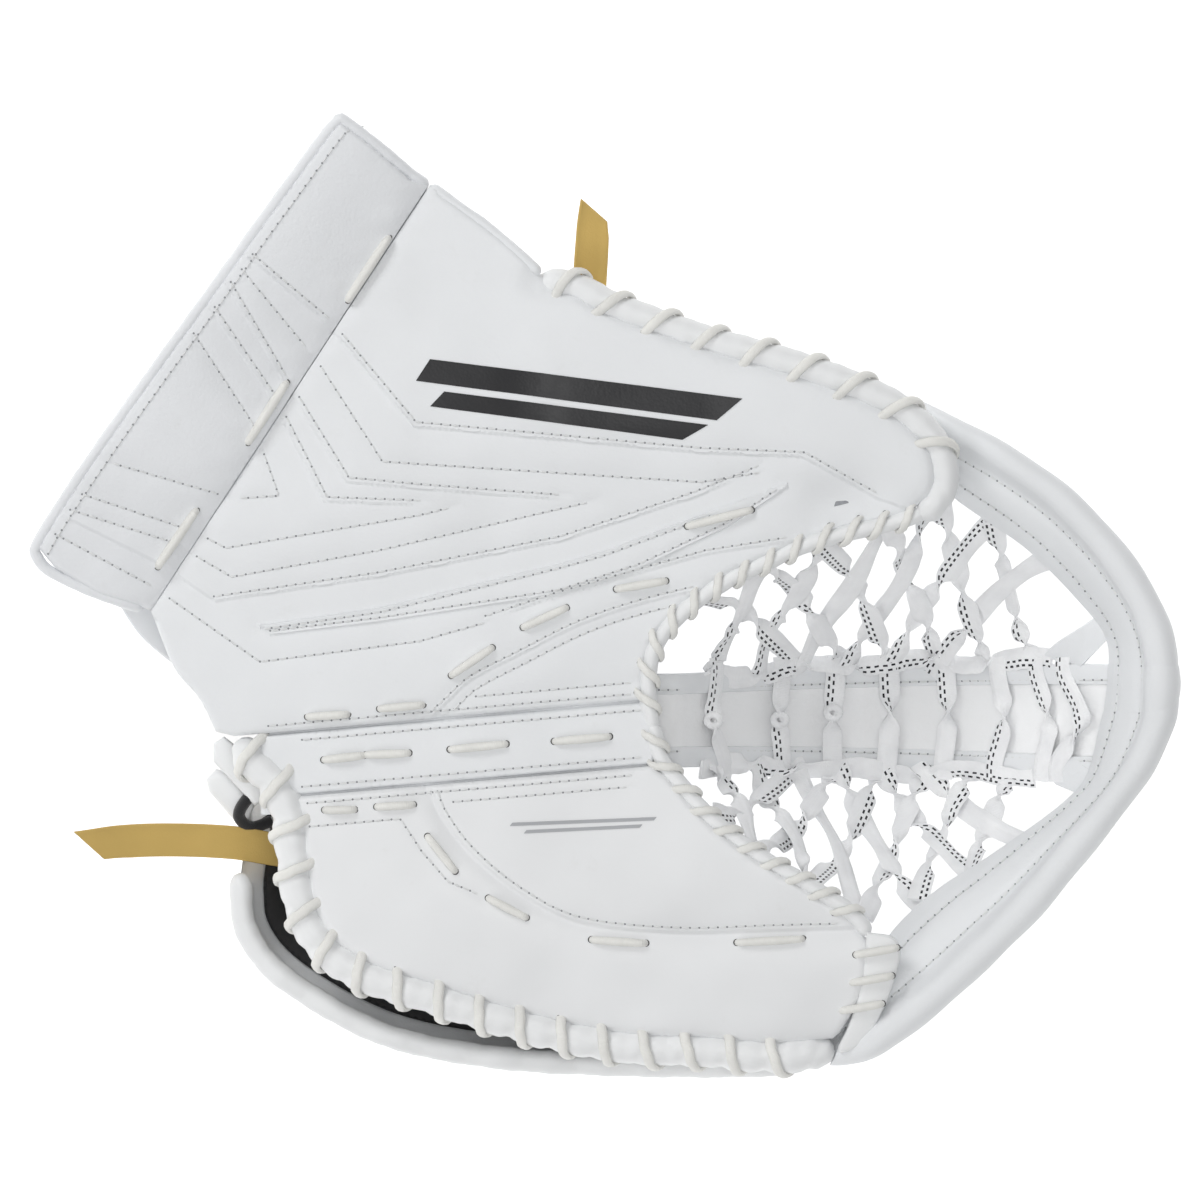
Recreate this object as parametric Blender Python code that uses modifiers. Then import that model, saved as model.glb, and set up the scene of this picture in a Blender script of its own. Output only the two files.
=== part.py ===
"""A goalie's catch glove for the left hand. It lies open on its back with the palm facing up.

Units are metres, +Z is up, +X runs from the wrist to the fingertips and +Y from the fingers to
the thumb. Outlines and sizes below are in millimetres and are scaled by MM when a mesh is made.
The glove folds along two parallel seams, one on each side of the break strip.
"""

import math

import bmesh
import bpy
from mathutils import Vector, geometry

MM = 0.001

# The fold seams. Both rise at the same slopes from the heel to the rim.
SEAM_SLOPE_Y = 0.09
SEAM_SLOPE_Z = 0.11
UPPER_SEAM_Y = -42.6
LOWER_SEAM_Y = -65.3
SEAM_MID_X = -60.0
PALM_Z = 62.0
SEAM_GAP = 1.0

# Layers under the palm leather, from its top surface downwards.
LEATHER = 2.0
LAYER_GAP = 0.9
FOAM = 9.0
BOARD = 2.2
LINER = 1.2
OVERLAY = 1.2
CASING = 2.5
CASING_RISE = 45.0
CASING_POWER = 3.2
ROLLED_EDGE_R = 2.8
EDGE_GAP = 0.8
PAD_Z = 6.0
PAD_THICK = 5.0
STALL_DROP = 33.0
STALL_WALL = 1.4

# Edge welts and the laces that wrap them.
LACE_R = 1.3
POCKET_LACE_R = 1.1
THUMB_WELT_R = 4.6
THUMB_WELT_TURNS = 10
FINGER_WELT_R = 6.2
FINGER_WELT_TURNS = 17
POCKET_WELT_R = 2.0
LACE_CLEAR = 0.5
TURN_POINTS = 8
POCKET_TURN_POINTS = 6

EDGE_STEP = 10.0
GRID_STEP = 22.0

# Plan outlines, each as the few points that its shape needs.
CREASE_TOP = (-60, 146)
CREASE_LOW = (-160, -4)
CUFF_EDGE = [(-91, 169), (-98, 161), (-127, 122), (-172, 61), (-194, 29), (-200, 19)]
CUFF_FOOT = [(-200, 16), (-195, 10), (-178, 2), (-163, -3)]
THUMB_TOP = [(-60, 146), (-38, 130), (-21, 115)]
THUMB_WELT = [(-9, 111), (2, 105), (20, 98), (40, 91), (60, 85.5), (80, 79), (97, 72),
              (110, 64), (119, 53), (121, 42), (117, 33)]
THUMB_POCKET = [(111, 29), (104, 27.5), (89, 24), (74, 20), (60, 14), (45, 7), (32, -2),
                (22, -12), (17.5, -23), (17, -34)]
THUMB_HEEL = [(-137, -47), (-143, -35), (-152, -24), (-160, -4)]
FINGER_WELT = [(-124, -57), (-116, -65), (-111, -76), (-109, -92), (-106, -110), (-98, -124),
               (-84, -133.5), (-62, -140.5), (-40, -147.5), (-16, -154), (10, -158.5),
               (36, -159.5), (62, -161.5), (83, -159.5)]
FINGER_POCKET = [(24, -60), (30, -67), (39, -77), (55, -89.5), (75, -101.5), (88, -110),
                 (95, -118)]
FINGER_END = [(96, -120), (92, -140), (85, -153)]
CASING_EDGE = [(-130, -103), (-128, -119), (-116, -135), (-89, -152), (-63, -161), (-28, -166),
               (4, -167.5), (40, -168), (72, -167), (87, -160), (90, -142), (90, -124),
               (70, -107), (50, -95), (34, -81), (22, -66)]
SHIELD_EDGE = [(-60, -68), (-56, -77), (-46, -90), (-29, -104), (-7, -114.5), (28, -118),
               (60, -117)]

# The rolled rim: its outer lip and its inner edge, as (x, y, z).
RIM_UPPER_LIP = [(114, 66, 60), (121, 62, 66), (139, 52, 74), (159, 38, 80), (174, 23, 85),
                 (186, 7, 88), (193.4, -8, 90), (196, -18, 90.5)]
RIM_UPPER_FOOT = [(122, 42, 56), (127, 36, 57), (149, 22, 58), (161, 12, 58), (172, 1, 58),
                  (179, -7, 59), (182, -13, 60), (183, -18, 60)]
RIM_CREST_LIP = [(196.7, -22, 90.5), (196.7, -32, 90.5), (195.8, -40.5, 90)]
RIM_CREST_FOOT = [(183, -22, 60), (183, -32, 60), (181, -40.5, 60)]
RIM_LOWER_LIP = [(195, -44.5, 90), (189, -58, 88.5), (180, -71, 86), (168, -86, 83),
                 (151, -107, 79), (134, -124.5, 75), (117, -140.5, 71), (104, -151, 68),
                 (96, -157, 66)]
RIM_LOWER_FOOT = [(180, -44.5, 60), (176, -62, 58), (169, -71, 57), (157, -81, 55),
                  (138, -94, 54), (122, -104, 53), (109, -117, 53), (102, -133, 54),
                  (98, -147, 56)]
LIP_R = 5.6
FOOT_HALF = 2.4

# The strip that crosses the floor of the pocket, from the break to the rim.
BAND_START_X = 27.0
BAND_END_X = 171.0
BAND_MID_Y = -42.0
BAND_FLOOR_Z = 9.0
BAND_START_Z = 60.0
BAND_END_Z = 54.0
BAND_START_HALF = 15.5
BAND_END_HALF = 19.0
BAND_THICK = 3.0
BAND_STEPS = 16
BINDING_R = 1.8
COLUMN_R = 1.5
COLUMN_STEPS = 6
COLUMN_SWAY = 1.6
COLUMN_X = [44, 66, 86, 105, 124, 142, 154, 164]
NET_WIRE = 3.0
NET_ROWS = 4
NET_COLUMNS = 12

# Back casings, the pads in them and the stalls: (name, start, end, half width, half height).
CASING_GRID = 14.0
THUMB_CASING_INSET = 8.4
THUMB_CASING_DROP = 22.0
THUMB_CASING_POCKET = [(100, 34), (74, 26), (45, 13), (26, -3), (12, -22)]
THUMB_CASING_HEEL = [(-136, -38), (-146, -18), (-148, -2), (-110, 62), (-66, 132)]
BACKHAND_PAD = [(-96, -78), (-99, -98), (-84, -112), (-24, -126), (34, -128), (38, -122),
                (16, -104), (-10, -84)]
THUMB_PAD = [(-104, -14), (-106, 12), (-78, 66), (-42, 74), (-6, 56), (16, 42), (2, 24),
             (-26, 2), (-46, -10)]
FINGER_STALLS = [
    ("index_stall", (-38, -74), (18, -78.5), 9.8, 11.5),
    ("middle_stall", (-40, -95), (37, -101), 9.8, 11.5),
    ("ring_stall", (-43, -116), (50, -124), 9.8, 11.5),
    ("little_stall", (-52, -134.2), (6, -143.6), 8.6, 11.5),
]
THUMB_STALL = ("thumb_stall", (-42, 14), (62, 46), 13, 12.5)

# Overlays on the thumb side, in plan.
CHEVRON = [(-88, 96), (-62, 61), (-28, 54), (36, 51), (72, 50), (96, 38), (88, 34), (60, 40),
           (30, 42), (-30, 42), (-76, 45), (-99, 78)]
ARROW = [(-131, 30), (-137, 14), (-122, -5), (-115, -10), (-64, -8), (-40, 4), (26, 28),
         (0, 29), (-64, 28), (-128, 20)]

# The cuff's outer corner, its crease lace and the strap that shows behind it.
CUFF_TOP = [(-80, 161), (-66, 149)]
BINDING_WIDE_R = 2.2
CREASE_LACE_STEPS = 24
LACE_PROUD = 1.4
LACE_SUNK = 1.0
WRIST_STRAP = [(-176, 2), (-166, -13), (-152, -25), (-141, -35), (-128, -22), (-136, 6),
               (-150, 20)]
WRIST_STRAP_DROP = 26.0

# The break strip and the stitches of its lace, from x to x.
STRIP_DROP = 0.6
STRIP_THICK = 3.0
LACE_HOLE_R = 2.6
BREAK_STITCHES = [(-95, -83), (-80, -65), (-50, -33), (-13, 3)]

# The nets' outer edges, as (x, y, z).
NET_UPPER_EDGE = [(24, -20, 60), (36, -6, 62), (56, 6, 66), (78, 15, 70), (100, 20, 68),
                  (120, 30, 58), (147, 17, 55), (161, 5, 53), (169, -6, 52)]
NET_LOWER_EDGE = [(31, -61, 60), (44, -73, 60), (60, -85, 60), (80, -97, 60), (98, -109, 56),
                  (116, -102, 50), (135, -91, 50), (152, -80, 51), (162, -73, 51)]
NET_UPPER_END_X = 156
NET_LOWER_END_X = 148

# Heel hardware and the strap tails.
FINGER_END_WELT = [(100.1, -121), (97.1, -140), (90.6, -151)]
HEEL_TAB = [(-139, -53), (-128, -55), (-125, -66), (-136, -70)]
HEEL_TAB_Z = 36.0
HEEL_LOOP = [(-141, -63, 27), (-135, -67, 28), (-129, -74, 27)]
ELASTIC_LOOP = [(-119, -64, 22), (-125, -66, 19), (-131, -71, 18), (-128, -76, 19),
                (-120, -78, 20)]
STRAP_HALF = 6.0
STRAP_THICK = 1.8
HAND_STRAP_MIDDLE = Vector((-92, -95.5, 16))
HAND_STRAP_RUN = Vector((-1, 0.14, 0)).normalized()
HAND_STRAP_TAIL = [(-111, -91.5, 20), (-121, -89.5, 25), (-131, -87.6, 29), (-145, -86.6, 31),
                   (-160, -86.4, 32), (-172, -87, 32), (-183, -88, 31)]
THUMB_STRAP_MIDDLE = Vector((-5.5, 84, 51.4))
THUMB_STRAP_RUN = Vector((0.06, 0.94, 0.34)).normalized()
THUMB_STRAP_SIDE = (1, -0.06, 0)

COLLECTION = "goalie_catch_glove"
WHITE_LEATHER = (0.86, 0.87, 0.89, 1)
SHADE_LEATHER = (0.76, 0.78, 0.81, 1)
LACE_WHITE = (0.9, 0.89, 0.86, 1)
BLACK = (0.02, 0.02, 0.022, 1)
TAN = (0.52, 0.36, 0.14, 1)
FOAM_GREY = (0.35, 0.36, 0.38, 1)
STEEL = (0.7, 0.7, 0.72, 1)


def clear_scene():
    for obj in list(bpy.data.objects):
        bpy.data.objects.remove(obj, do_unlink=True)


def collection_named(name, hidden=False):
    made = bpy.data.collections.new(name)
    bpy.context.scene.collection.children.link(made)
    made.hide_render = hidden
    return made


def material(name, colour, roughness=0.6, metallic=0.0):
    made = bpy.data.materials.new(name)
    made.use_nodes = True
    shader = made.node_tree.nodes["Principled BSDF"]
    shader.inputs["Base Color"].default_value = colour
    shader.inputs["Roughness"].default_value = roughness
    shader.inputs["Metallic"].default_value = metallic
    made.diffuse_color = colour
    return made


def smooth_path(points, step=EDGE_STEP):
    """Points about a step apart on the Catmull-Rom curve through the given ones."""
    knots = [Vector(p) for p in points]
    ends = [2 * knots[0] - knots[1]] + knots + [2 * knots[-1] - knots[-2]]
    made = []
    for a, b, c, d in zip(ends, ends[1:], ends[2:], ends[3:]):
        count = max(1, round((c - b).length / step))
        for i in range(count):
            t = i / count
            made.append(0.5 * (2 * b + (c - a) * t + (2 * a - 5 * b + 4 * c - d) * t**2
                               + (3 * b - a - 3 * c + d) * t**3))
    return made + [knots[-1]]


def even_path(points, count):
    """The smooth curve through the points, as count + 1 points at even distances along it."""
    fine = smooth_path(points, 1.5)
    lengths = [0.0]
    for a, b in zip(fine, fine[1:]):
        lengths.append(lengths[-1] + (b - a).length)
    made = []
    at = 0
    for i in range(count + 1):
        want = lengths[-1] * i / count
        while at < len(fine) - 2 and lengths[at + 1] < want:
            at += 1
        span = lengths[at + 1] - lengths[at]
        made.append(fine[at].lerp(fine[at + 1], (want - lengths[at]) / span))
    return made


def inset(path, distance):
    """The plan path moved to its right-hand side, seen from above."""
    made = []
    for i, point in enumerate(path):
        run = path[min(i + 1, len(path) - 1)] - path[max(i - 1, 0)]
        side = Vector((run.y, -run.x)).normalized()
        made.append(point.xy + side * distance)
    return made


def shrink(outline, distance):
    """A closed clockwise outline drawn in by a distance, with its tight corners cut off."""
    made = []
    ring = list(outline) + [outline[0]]
    count = len(outline)
    for i, point in enumerate(outline):
        before = (point - outline[i - 1]).normalized()
        after = (outline[(i + 1) % count] - point).normalized()
        side = Vector((before.y + after.y, -before.x - after.x)).normalized()
        reach = max(0.5, side.dot(Vector((before.y, -before.x))))
        moved = point + side * distance / reach
        if inside(moved, outline) and away_from(moved, ring) > 0.96 * distance:
            made.append(moved)
    return made


def away_from(point, path):
    """The distance from a plan point to a path."""
    nearest = []
    for a, b in zip(path, path[1:]):
        run = b - a
        t = max(0.0, min(1.0, (point - a).dot(run) / run.length_squared))
        nearest.append((point - a - run * t).length)
    return min(nearest)


def inside(point, outline):
    turns = False
    for a, b in zip(outline, outline[1:] + outline[:1]):
        if (a.y > point.y) != (b.y > point.y):
            if point.x < a.x + (b.x - a.x) * (point.y - a.y) / (b.y - a.y):
                turns = not turns
    return turns


def upper_seam(x):
    return UPPER_SEAM_Y + SEAM_SLOPE_Y * (x - SEAM_MID_X)


def lower_seam(x):
    return LOWER_SEAM_Y + SEAM_SLOPE_Y * (x - SEAM_MID_X)


def seam_z(x):
    return PALM_Z + SEAM_SLOPE_Z * (x - SEAM_MID_X)


def thumb_z(x, y):
    """The palm leather of the thumb side: it rises a little from the break to the thumb."""
    out = max(0.0, y - upper_seam(x))
    return seam_z(x) + 0.04 * out + 0.0001 * out**2


def finger_z(x, y):
    """The palm leather of the finger side: nearly flat at the break, falling to the welt."""
    out = max(0.0, lower_seam(x) - y)
    return seam_z(x) + 0.02 * out - 0.0012 * out**2


CREASE_RUN = Vector(CREASE_TOP) - Vector(CREASE_LOW)
CREASE_SIDE = Vector((-CREASE_RUN.y, CREASE_RUN.x)).normalized()
CUFF_FLARE = 0.26


def crease_z(along):
    """The height of the crease's hinge line, a fraction of the way up it."""
    low = thumb_z(*CREASE_LOW)
    return low + (thumb_z(*CREASE_TOP) - low) * along


def cuff_z(x, y):
    """The cuff leather: it flares up from the crease to its outer edge."""
    point = Vector((x, y)) - Vector(CREASE_LOW)
    along = point.dot(CREASE_RUN) / CREASE_RUN.length_squared
    return crease_z(along) + CUFF_FLARE * max(0.0, point.dot(CREASE_SIDE))


def lowered(height, drop):
    return lambda x, y: height(x, y) - drop


def finger_casing_edge_z(x, y):
    return 32 + 0.04 * (x + 130)


def pad_top(x, y):
    return PAD_Z + PAD_THICK


def casing_z(edge_z, edge_path):
    """A back casing: flat on the ground, and rising to the given height along its edge path."""
    path = smooth_path(edge_path)

    def height(x, y):
        near = min(1.0, away_from(Vector((x, y)), path) / CASING_RISE)
        return CASING + (edge_z(x, y) - CASING) * (1 - near) ** CASING_POWER

    return height


def add_object(name, data, paint, body):
    made = bpy.data.objects.new(name, data)
    PARTS.objects.link(made)
    made.data.materials.append(paint)
    made.parent = BODIES[body]
    made.matrix_parent_inverse = BODIES[body].matrix_world.inverted()
    return made


def smooth_shade(obj, degrees=40):
    obj.data.shade_smooth()
    obj.data.set_sharp_from_angle(angle=math.radians(degrees))


def sheet(name, outline, height, thickness, paint, body, grid=GRID_STEP):
    """An open surface over a plan outline, at height(x, y), with its thickness below it."""
    xs = [p.x for p in outline]
    ys = [p.y for p in outline]
    ring = list(outline) + [outline[0]]
    points = list(outline)
    for i in range(math.floor(min(xs) / grid), math.ceil(max(xs) / grid)):
        for j in range(math.floor(min(ys) / grid), math.ceil(max(ys) / grid)):
            point = Vector(((i + 0.5) * grid, (j + 0.5) * grid))
            if inside(point, outline) and away_from(point, ring) > grid / 3:
                points.append(point)
    count = len(outline)
    edges = [(i, (i + 1) % count) for i in range(count)]
    flat, _, faces = geometry.delaunay_2d_cdt(points, edges, [], 1, 1e-4)[:3]
    mesh = bpy.data.meshes.new(name)
    places = [(p.x * MM, p.y * MM, height(p.x, p.y) * MM) for p in flat]
    mesh.from_pydata(places, [], faces)
    made = add_object(name, mesh, paint, body)
    solid = made.modifiers.new("thickness", "SOLIDIFY")
    solid.thickness = thickness * MM
    solid.offset = -1
    smooth_shade(made)
    return made


def tube(name, points, radius, paint, body, resolution=1):
    """A round cord, welt or wire through points, with filled ends."""
    curve = bpy.data.curves.new(name, "CURVE")
    curve.dimensions = "3D"
    spline = curve.splines.new("POLY")
    spline.points.add(len(points) - 1)
    for place, point in zip(spline.points, points):
        place.co = (point.x * MM, point.y * MM, point.z * MM, 1)
    curve.bevel_depth = radius * MM
    curve.bevel_resolution = resolution
    curve.use_fill_caps = True
    return add_object(name, curve, paint, body)


def ribbon(name, path, halves, thickness, paint, body, side=(0, 1, 0)):
    """A flat band along a path, half as wide on each side as halves says at each point."""
    mesh = bpy.data.meshes.new(name)
    across = Vector(side)
    places = []
    for point, half in zip(path, halves):
        places.append((point + across * half) * MM)
        places.append((point - across * half) * MM)
    faces = [(2 * i, 2 * i + 1, 2 * i + 3, 2 * i + 2) for i in range(len(path) - 1)]
    mesh.from_pydata(places, [], faces)
    made = add_object(name, mesh, paint, body)
    solid = made.modifiers.new("thickness", "SOLIDIFY")
    solid.thickness = thickness * MM
    solid.offset = 0
    smooth_shade(made)
    return made


def loft(name, rings, paint, body):
    """A closed solid through rings of equal length, with flat ends."""
    count = len(rings[0])
    mesh = bpy.data.meshes.new(name)
    faces = [list(range(count))[::-1]]
    for r in range(len(rings) - 1):
        for i in range(count):
            j = (i + 1) % count
            faces.append((r * count + i, r * count + j, (r + 1) * count + j, (r + 1) * count + i))
    faces.append([(len(rings) - 1) * count + i for i in range(count)])
    mesh.from_pydata([p * MM for ring in rings for p in ring], [], faces)
    shape = bmesh.new()
    shape.from_mesh(mesh)
    bmesh.ops.recalc_face_normals(shape, faces=shape.faces)
    shape.to_mesh(mesh)
    shape.free()
    made = add_object(name, mesh, paint, body)
    smooth_shade(made)
    return made


def spiral(path, turns, radius, points_per_turn):
    """A lace wound round a path."""
    steps = turns * points_per_turn
    line = even_path(path, steps)
    made = []
    for i, point in enumerate(line):
        run = (line[min(i + 1, steps)] - line[max(i - 1, 0)]).normalized()
        side = run.cross(Vector((0, 0, 1))).normalized()
        up = side.cross(run)
        turn = 2 * math.pi * i / points_per_turn
        made.append(point + (side * math.cos(turn) + up * math.sin(turn)) * radius)
    return made


def raised(path, height, lift):
    """Plan points given a height a distance above the height function."""
    return [Vector((p[0], p[1], height(p[0], p[1]) + lift)) for p in path]


def lace_radius(welt_r, points_per_turn):
    """The corner radius at which a polygon of turns clears the welt inside it."""
    return (welt_r + LACE_CLEAR + LACE_R) / math.cos(math.pi / points_per_turn)


def seam_run(seam, start_x, end_x, offset):
    count = max(1, round(abs(end_x - start_x) / EDGE_STEP))
    xs = [start_x + (end_x - start_x) * i / count for i in range(count + 1)]
    return [Vector((x, seam(x) + offset)) for x in xs]


def joined(*paths):
    """One closed outline from runs that meet at corners."""
    made = []
    for path in paths:
        for point in path:
            flat = Vector(point[:2])
            if not made or (flat - made[-1]).length > 1.0:
                made.append(flat)
    if (made[0] - made[-1]).length < 1.0:
        made.pop()
    return made


def clockwise(outline):
    area = sum(a.cross(b) for a, b in zip(outline, outline[1:] + outline[:1]))
    return outline if area < 0 else outline[::-1]


def plan(points):
    """A closed plan outline from its corners."""
    return clockwise([Vector(p) for p in points])


def body_empty(name, place):
    made = bpy.data.objects.new(name, None)
    made.location = Vector(place) * MM
    PARTS.objects.link(made)
    return made


def wrapped_edge(name, path, radius, turns, body):
    """A welt and the lace wound round it."""
    tube(f"{name}_welt", path, radius, MAT["leather"], body, 2)
    corner = lace_radius(radius, TURN_POINTS)
    coil = spiral(path, turns, corner, TURN_POINTS)
    tube(f"{name}_lace", coil[2:-2], LACE_R, MAT["lace"], body)


def thumb_outline():
    margin = lace_radius(THUMB_WELT_R, TURN_POINTS) + LACE_R + LACE_CLEAR
    pocket_margin = lace_radius(POCKET_WELT_R, POCKET_TURN_POINTS) + LACE_R + LACE_CLEAR
    crease = [Vector(CREASE_LOW), Vector(CREASE_TOP)]
    return clockwise(joined(
        inset(smooth_path(crease), 2.4),
        smooth_path(THUMB_TOP)[1:],
        inset(smooth_path(THUMB_WELT), margin)[1:-1],
        inset(smooth_path(THUMB_POCKET), pocket_margin)[1:],
        seam_run(upper_seam, 10, -132, SEAM_GAP),
        smooth_path(THUMB_HEEL)[:-1],
    ))


def finger_outline():
    margin = lace_radius(FINGER_WELT_R, TURN_POINTS) + LACE_R + LACE_CLEAR
    pocket_margin = lace_radius(POCKET_WELT_R, POCKET_TURN_POINTS) + LACE_R + LACE_CLEAR
    welt_side = inset(smooth_path(FINGER_WELT[::-1]), margin)
    return clockwise(joined(
        [p for p in welt_side if p.y < lower_seam(p.x) - 4],
        seam_run(lower_seam, -98, 14, -SEAM_GAP),
        inset(smooth_path(FINGER_POCKET), pocket_margin)[1:],
        smooth_path(FINGER_END)[1:],
    ))


def cuff_outline():
    crease = [Vector(CREASE_TOP), Vector(CREASE_LOW)]
    return clockwise(joined(
        inset(smooth_path(crease), 2.4)[1:-1],
        [Vector((-164, -2)), Vector((-178, 2)), Vector((-193, 11))],
        smooth_path(CUFF_EDGE[::-1]),
        [Vector((-68, 150))],
    ))


def make_layers(prefix, outline, height, body):
    """The palm leather and what lies under it, one layer below the other."""
    sheet(f"{prefix}_palm_panel", outline, height, LEATHER, MAT["leather"], body)
    drop = LEATHER + LAYER_GAP
    sheet(f"{prefix}_foam", shrink(outline, 4), lowered(height, drop), FOAM, MAT["foam"], body)
    drop += FOAM + LAYER_GAP
    sheet(f"{prefix}_board", shrink(outline, 7), lowered(height, drop), BOARD, MAT["board"], body)
    return drop + BOARD + LAYER_GAP


def stall(name, start, end, half_wide, half_high, height, body):
    """A finger stall: a round-ended sleeve that is open at the palm."""
    sides = 10
    run = Vector(end) - Vector(start)
    across = Vector((-run.y, run.x)).normalized()
    stations = [(0.0, 1.0), (0.45, 1.0), (0.8, 0.94), (0.93, 0.72), (0.99, 0.34)]
    shape = bmesh.new()
    rings = []
    for along, size in stations:
        middle = Vector(start) + run * along
        z = height(middle.x, middle.y) - STALL_DROP
        ring = []
        for i in range(sides):
            turn = 2 * math.pi * i / sides
            flat = middle + across * half_wide * size * math.cos(turn)
            point = (flat.x, flat.y, z + half_high * size * math.sin(turn))
            ring.append(shape.verts.new(Vector(point) * MM))
        rings.append(ring)
    for ring, after in zip(rings, rings[1:]):
        for i in range(sides):
            j = (i + 1) % sides
            shape.faces.new((ring[i], ring[j], after[j], after[i]))
    shape.faces.new(rings[-1])
    bmesh.ops.recalc_face_normals(shape, faces=shape.faces)
    mesh = bpy.data.meshes.new(name)
    shape.to_mesh(mesh)
    shape.free()
    made = add_object(name, mesh, MAT["liner"], body)
    solid = made.modifiers.new("wall", "SOLIDIFY")
    solid.thickness = STALL_WALL * MM
    solid.offset = -1
    smooth_shade(made, 60)


def rim(name, lip, foot, body, stations):
    """A stretch of rim: a padded wall that ends in a thick rolled lip."""
    rings = []
    for top, low in zip(even_path(lip, stations), even_path(foot, stations)):
        run = low - top
        reach = run.length
        run.normalize()
        rise = Vector((0, 0, 1))
        off = (rise - run * run.dot(rise)).normalized()
        section = [(-LIP_R, 0), (-0.7 * LIP_R, 0.7 * LIP_R), (0, LIP_R), (0.75 * LIP_R, 0.75 * LIP_R),
                   (1.8 * LIP_R, FOOT_HALF), (reach, FOOT_HALF), (reach, -FOOT_HALF),
                   (1.8 * LIP_R, -FOOT_HALF), (0.75 * LIP_R, -0.75 * LIP_R), (0, -LIP_R),
                   (-0.7 * LIP_R, -0.7 * LIP_R)]
        rings.append([top + run * a + off * b for a, b in section])
    loft(name, rings, MAT["leather"], body)


def band_z(x):
    """The pocket strip's height: it hangs in an arc between the break and the rim."""
    along = (x - BAND_START_X) / (BAND_END_X - BAND_START_X)
    rope = BAND_START_Z + (BAND_END_Z - BAND_START_Z) * along
    return rope - (rope - BAND_FLOOR_Z) * (1 - abs(2 * along - 1) ** 2.2)


def band_normal(x):
    """The pocket strip's upward normal."""
    slope = band_z(x + 0.5) - band_z(x - 0.5)
    return Vector((-slope, 0, 1)).normalized()


def band_half(x):
    along = (x - BAND_START_X) / (BAND_END_X - BAND_START_X)
    return BAND_START_HALF + (BAND_END_HALF - BAND_START_HALF) * along


def net(name, outer, side, end_x, body):
    """A net of laces from an outer edge down to the pocket strip, as one curved grid."""
    first = even_path(outer, NET_COLUMNS)
    rows = []
    for r in range(NET_ROWS + 1):
        t = r / NET_ROWS
        row = []
        for i, top in enumerate(first):
            x = BAND_START_X + 4 + (end_x - BAND_START_X - 4) * i / NET_COLUMNS
            y = BAND_MID_Y + side * (band_half(x) + BINDING_R + NET_WIRE)
            low = Vector((x, y, band_z(x)))
            point = top.lerp(low, t)
            point.z -= 9 * math.sin(math.pi * t) * math.sin(math.pi * i / NET_COLUMNS)
            row.append(point)
        rows.append(row)
    mesh = bpy.data.meshes.new(name)
    width = NET_COLUMNS + 1
    faces = []
    for r in range(NET_ROWS):
        for i in range(NET_COLUMNS):
            a = r * width + i
            faces.append((a, a + 1, a + 1 + width, a + width))
    mesh.from_pydata([p * MM for row in rows for p in row], [], faces)
    made = add_object(name, mesh, MAT["lace"], body)
    wire = made.modifiers.new("laces", "WIREFRAME")
    wire.thickness = NET_WIRE * MM
    wire.use_boundary = True
    wire.use_even_offset = False
    return made


def buckle(name, middle, across, up, half_wide, half_high, body):
    """A wire keeper that a strap runs through."""
    wide = Vector(across).normalized() * half_wide
    high = Vector(up).normalized() * half_high
    centre = Vector(middle)
    bend = 0.7
    corners = []
    for a, b in [(-1, -bend), (-bend, -1), (bend, -1), (1, -bend), (1, bend), (bend, 1),
                 (-bend, 1), (-1, bend)]:
        corners.append(centre + wide * a + high * b)
    made = tube(name, corners, 1.2, MAT["steel"], body)
    made.data.splines[0].use_cyclic_u = True
    made.data.use_fill_caps = False
    return made


def make_finger_palm():
    """Palm layers of the finger side, and the shield that covers the middle of the palm."""
    outline = finger_outline()
    liner_drop = make_layers("finger", outline, finger_z, "finger_side")
    sheet("palm_liner", shrink(outline, 3), lowered(finger_z, liner_drop), LINER, MAT["liner"],
          "finger_side")
    shield = clockwise(joined(
        smooth_path(SHIELD_EDGE),
        inset(smooth_path(FINGER_POCKET[::-1]), -9)[2:-1],
        seam_run(lower_seam, 8, -59, -3),
    ))
    sheet("palm_shield", shield, lowered(finger_z, -OVERLAY - LAYER_GAP), OVERLAY, MAT["leather"],
          "finger_side")


def make_finger_back():
    """The finger side's back casing, its rolled edge, the pad in it and the four stalls."""
    outline = clockwise(joined(smooth_path(CASING_EDGE), seam_run(lower_seam, 16, -127, -2)))
    height = casing_z(finger_casing_edge_z, CASING_EDGE)
    sheet("finger_back_casing", outline, height, CASING, MAT["leather"], "finger_side", CASING_GRID)
    rolled = raised(smooth_path(CASING_EDGE[:9]), height, ROLLED_EDGE_R + EDGE_GAP)
    tube("casing_rolled_edge", rolled, ROLLED_EDGE_R, MAT["leather"], "finger_side")
    sheet("backhand_pad", plan(BACKHAND_PAD), pad_top, PAD_THICK, MAT["foam"], "finger_side")
    for name, start, end, half_wide, half_high in FINGER_STALLS:
        stall(name, start, end, half_wide, half_high, finger_z, "finger_side")


def make_thumb_palm():
    """Palm layers of the thumb side and the two stitched-on overlays."""
    make_layers("thumb", thumb_outline(), thumb_z, "thumb_side")
    for name, points in [("thumb_chevron_overlay", CHEVRON), ("thumb_arrow_overlay", ARROW)]:
        sheet(name, plan(points), lowered(thumb_z, -OVERLAY - LAYER_GAP), OVERLAY, MAT["leather"],
              "thumb_side")


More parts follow.
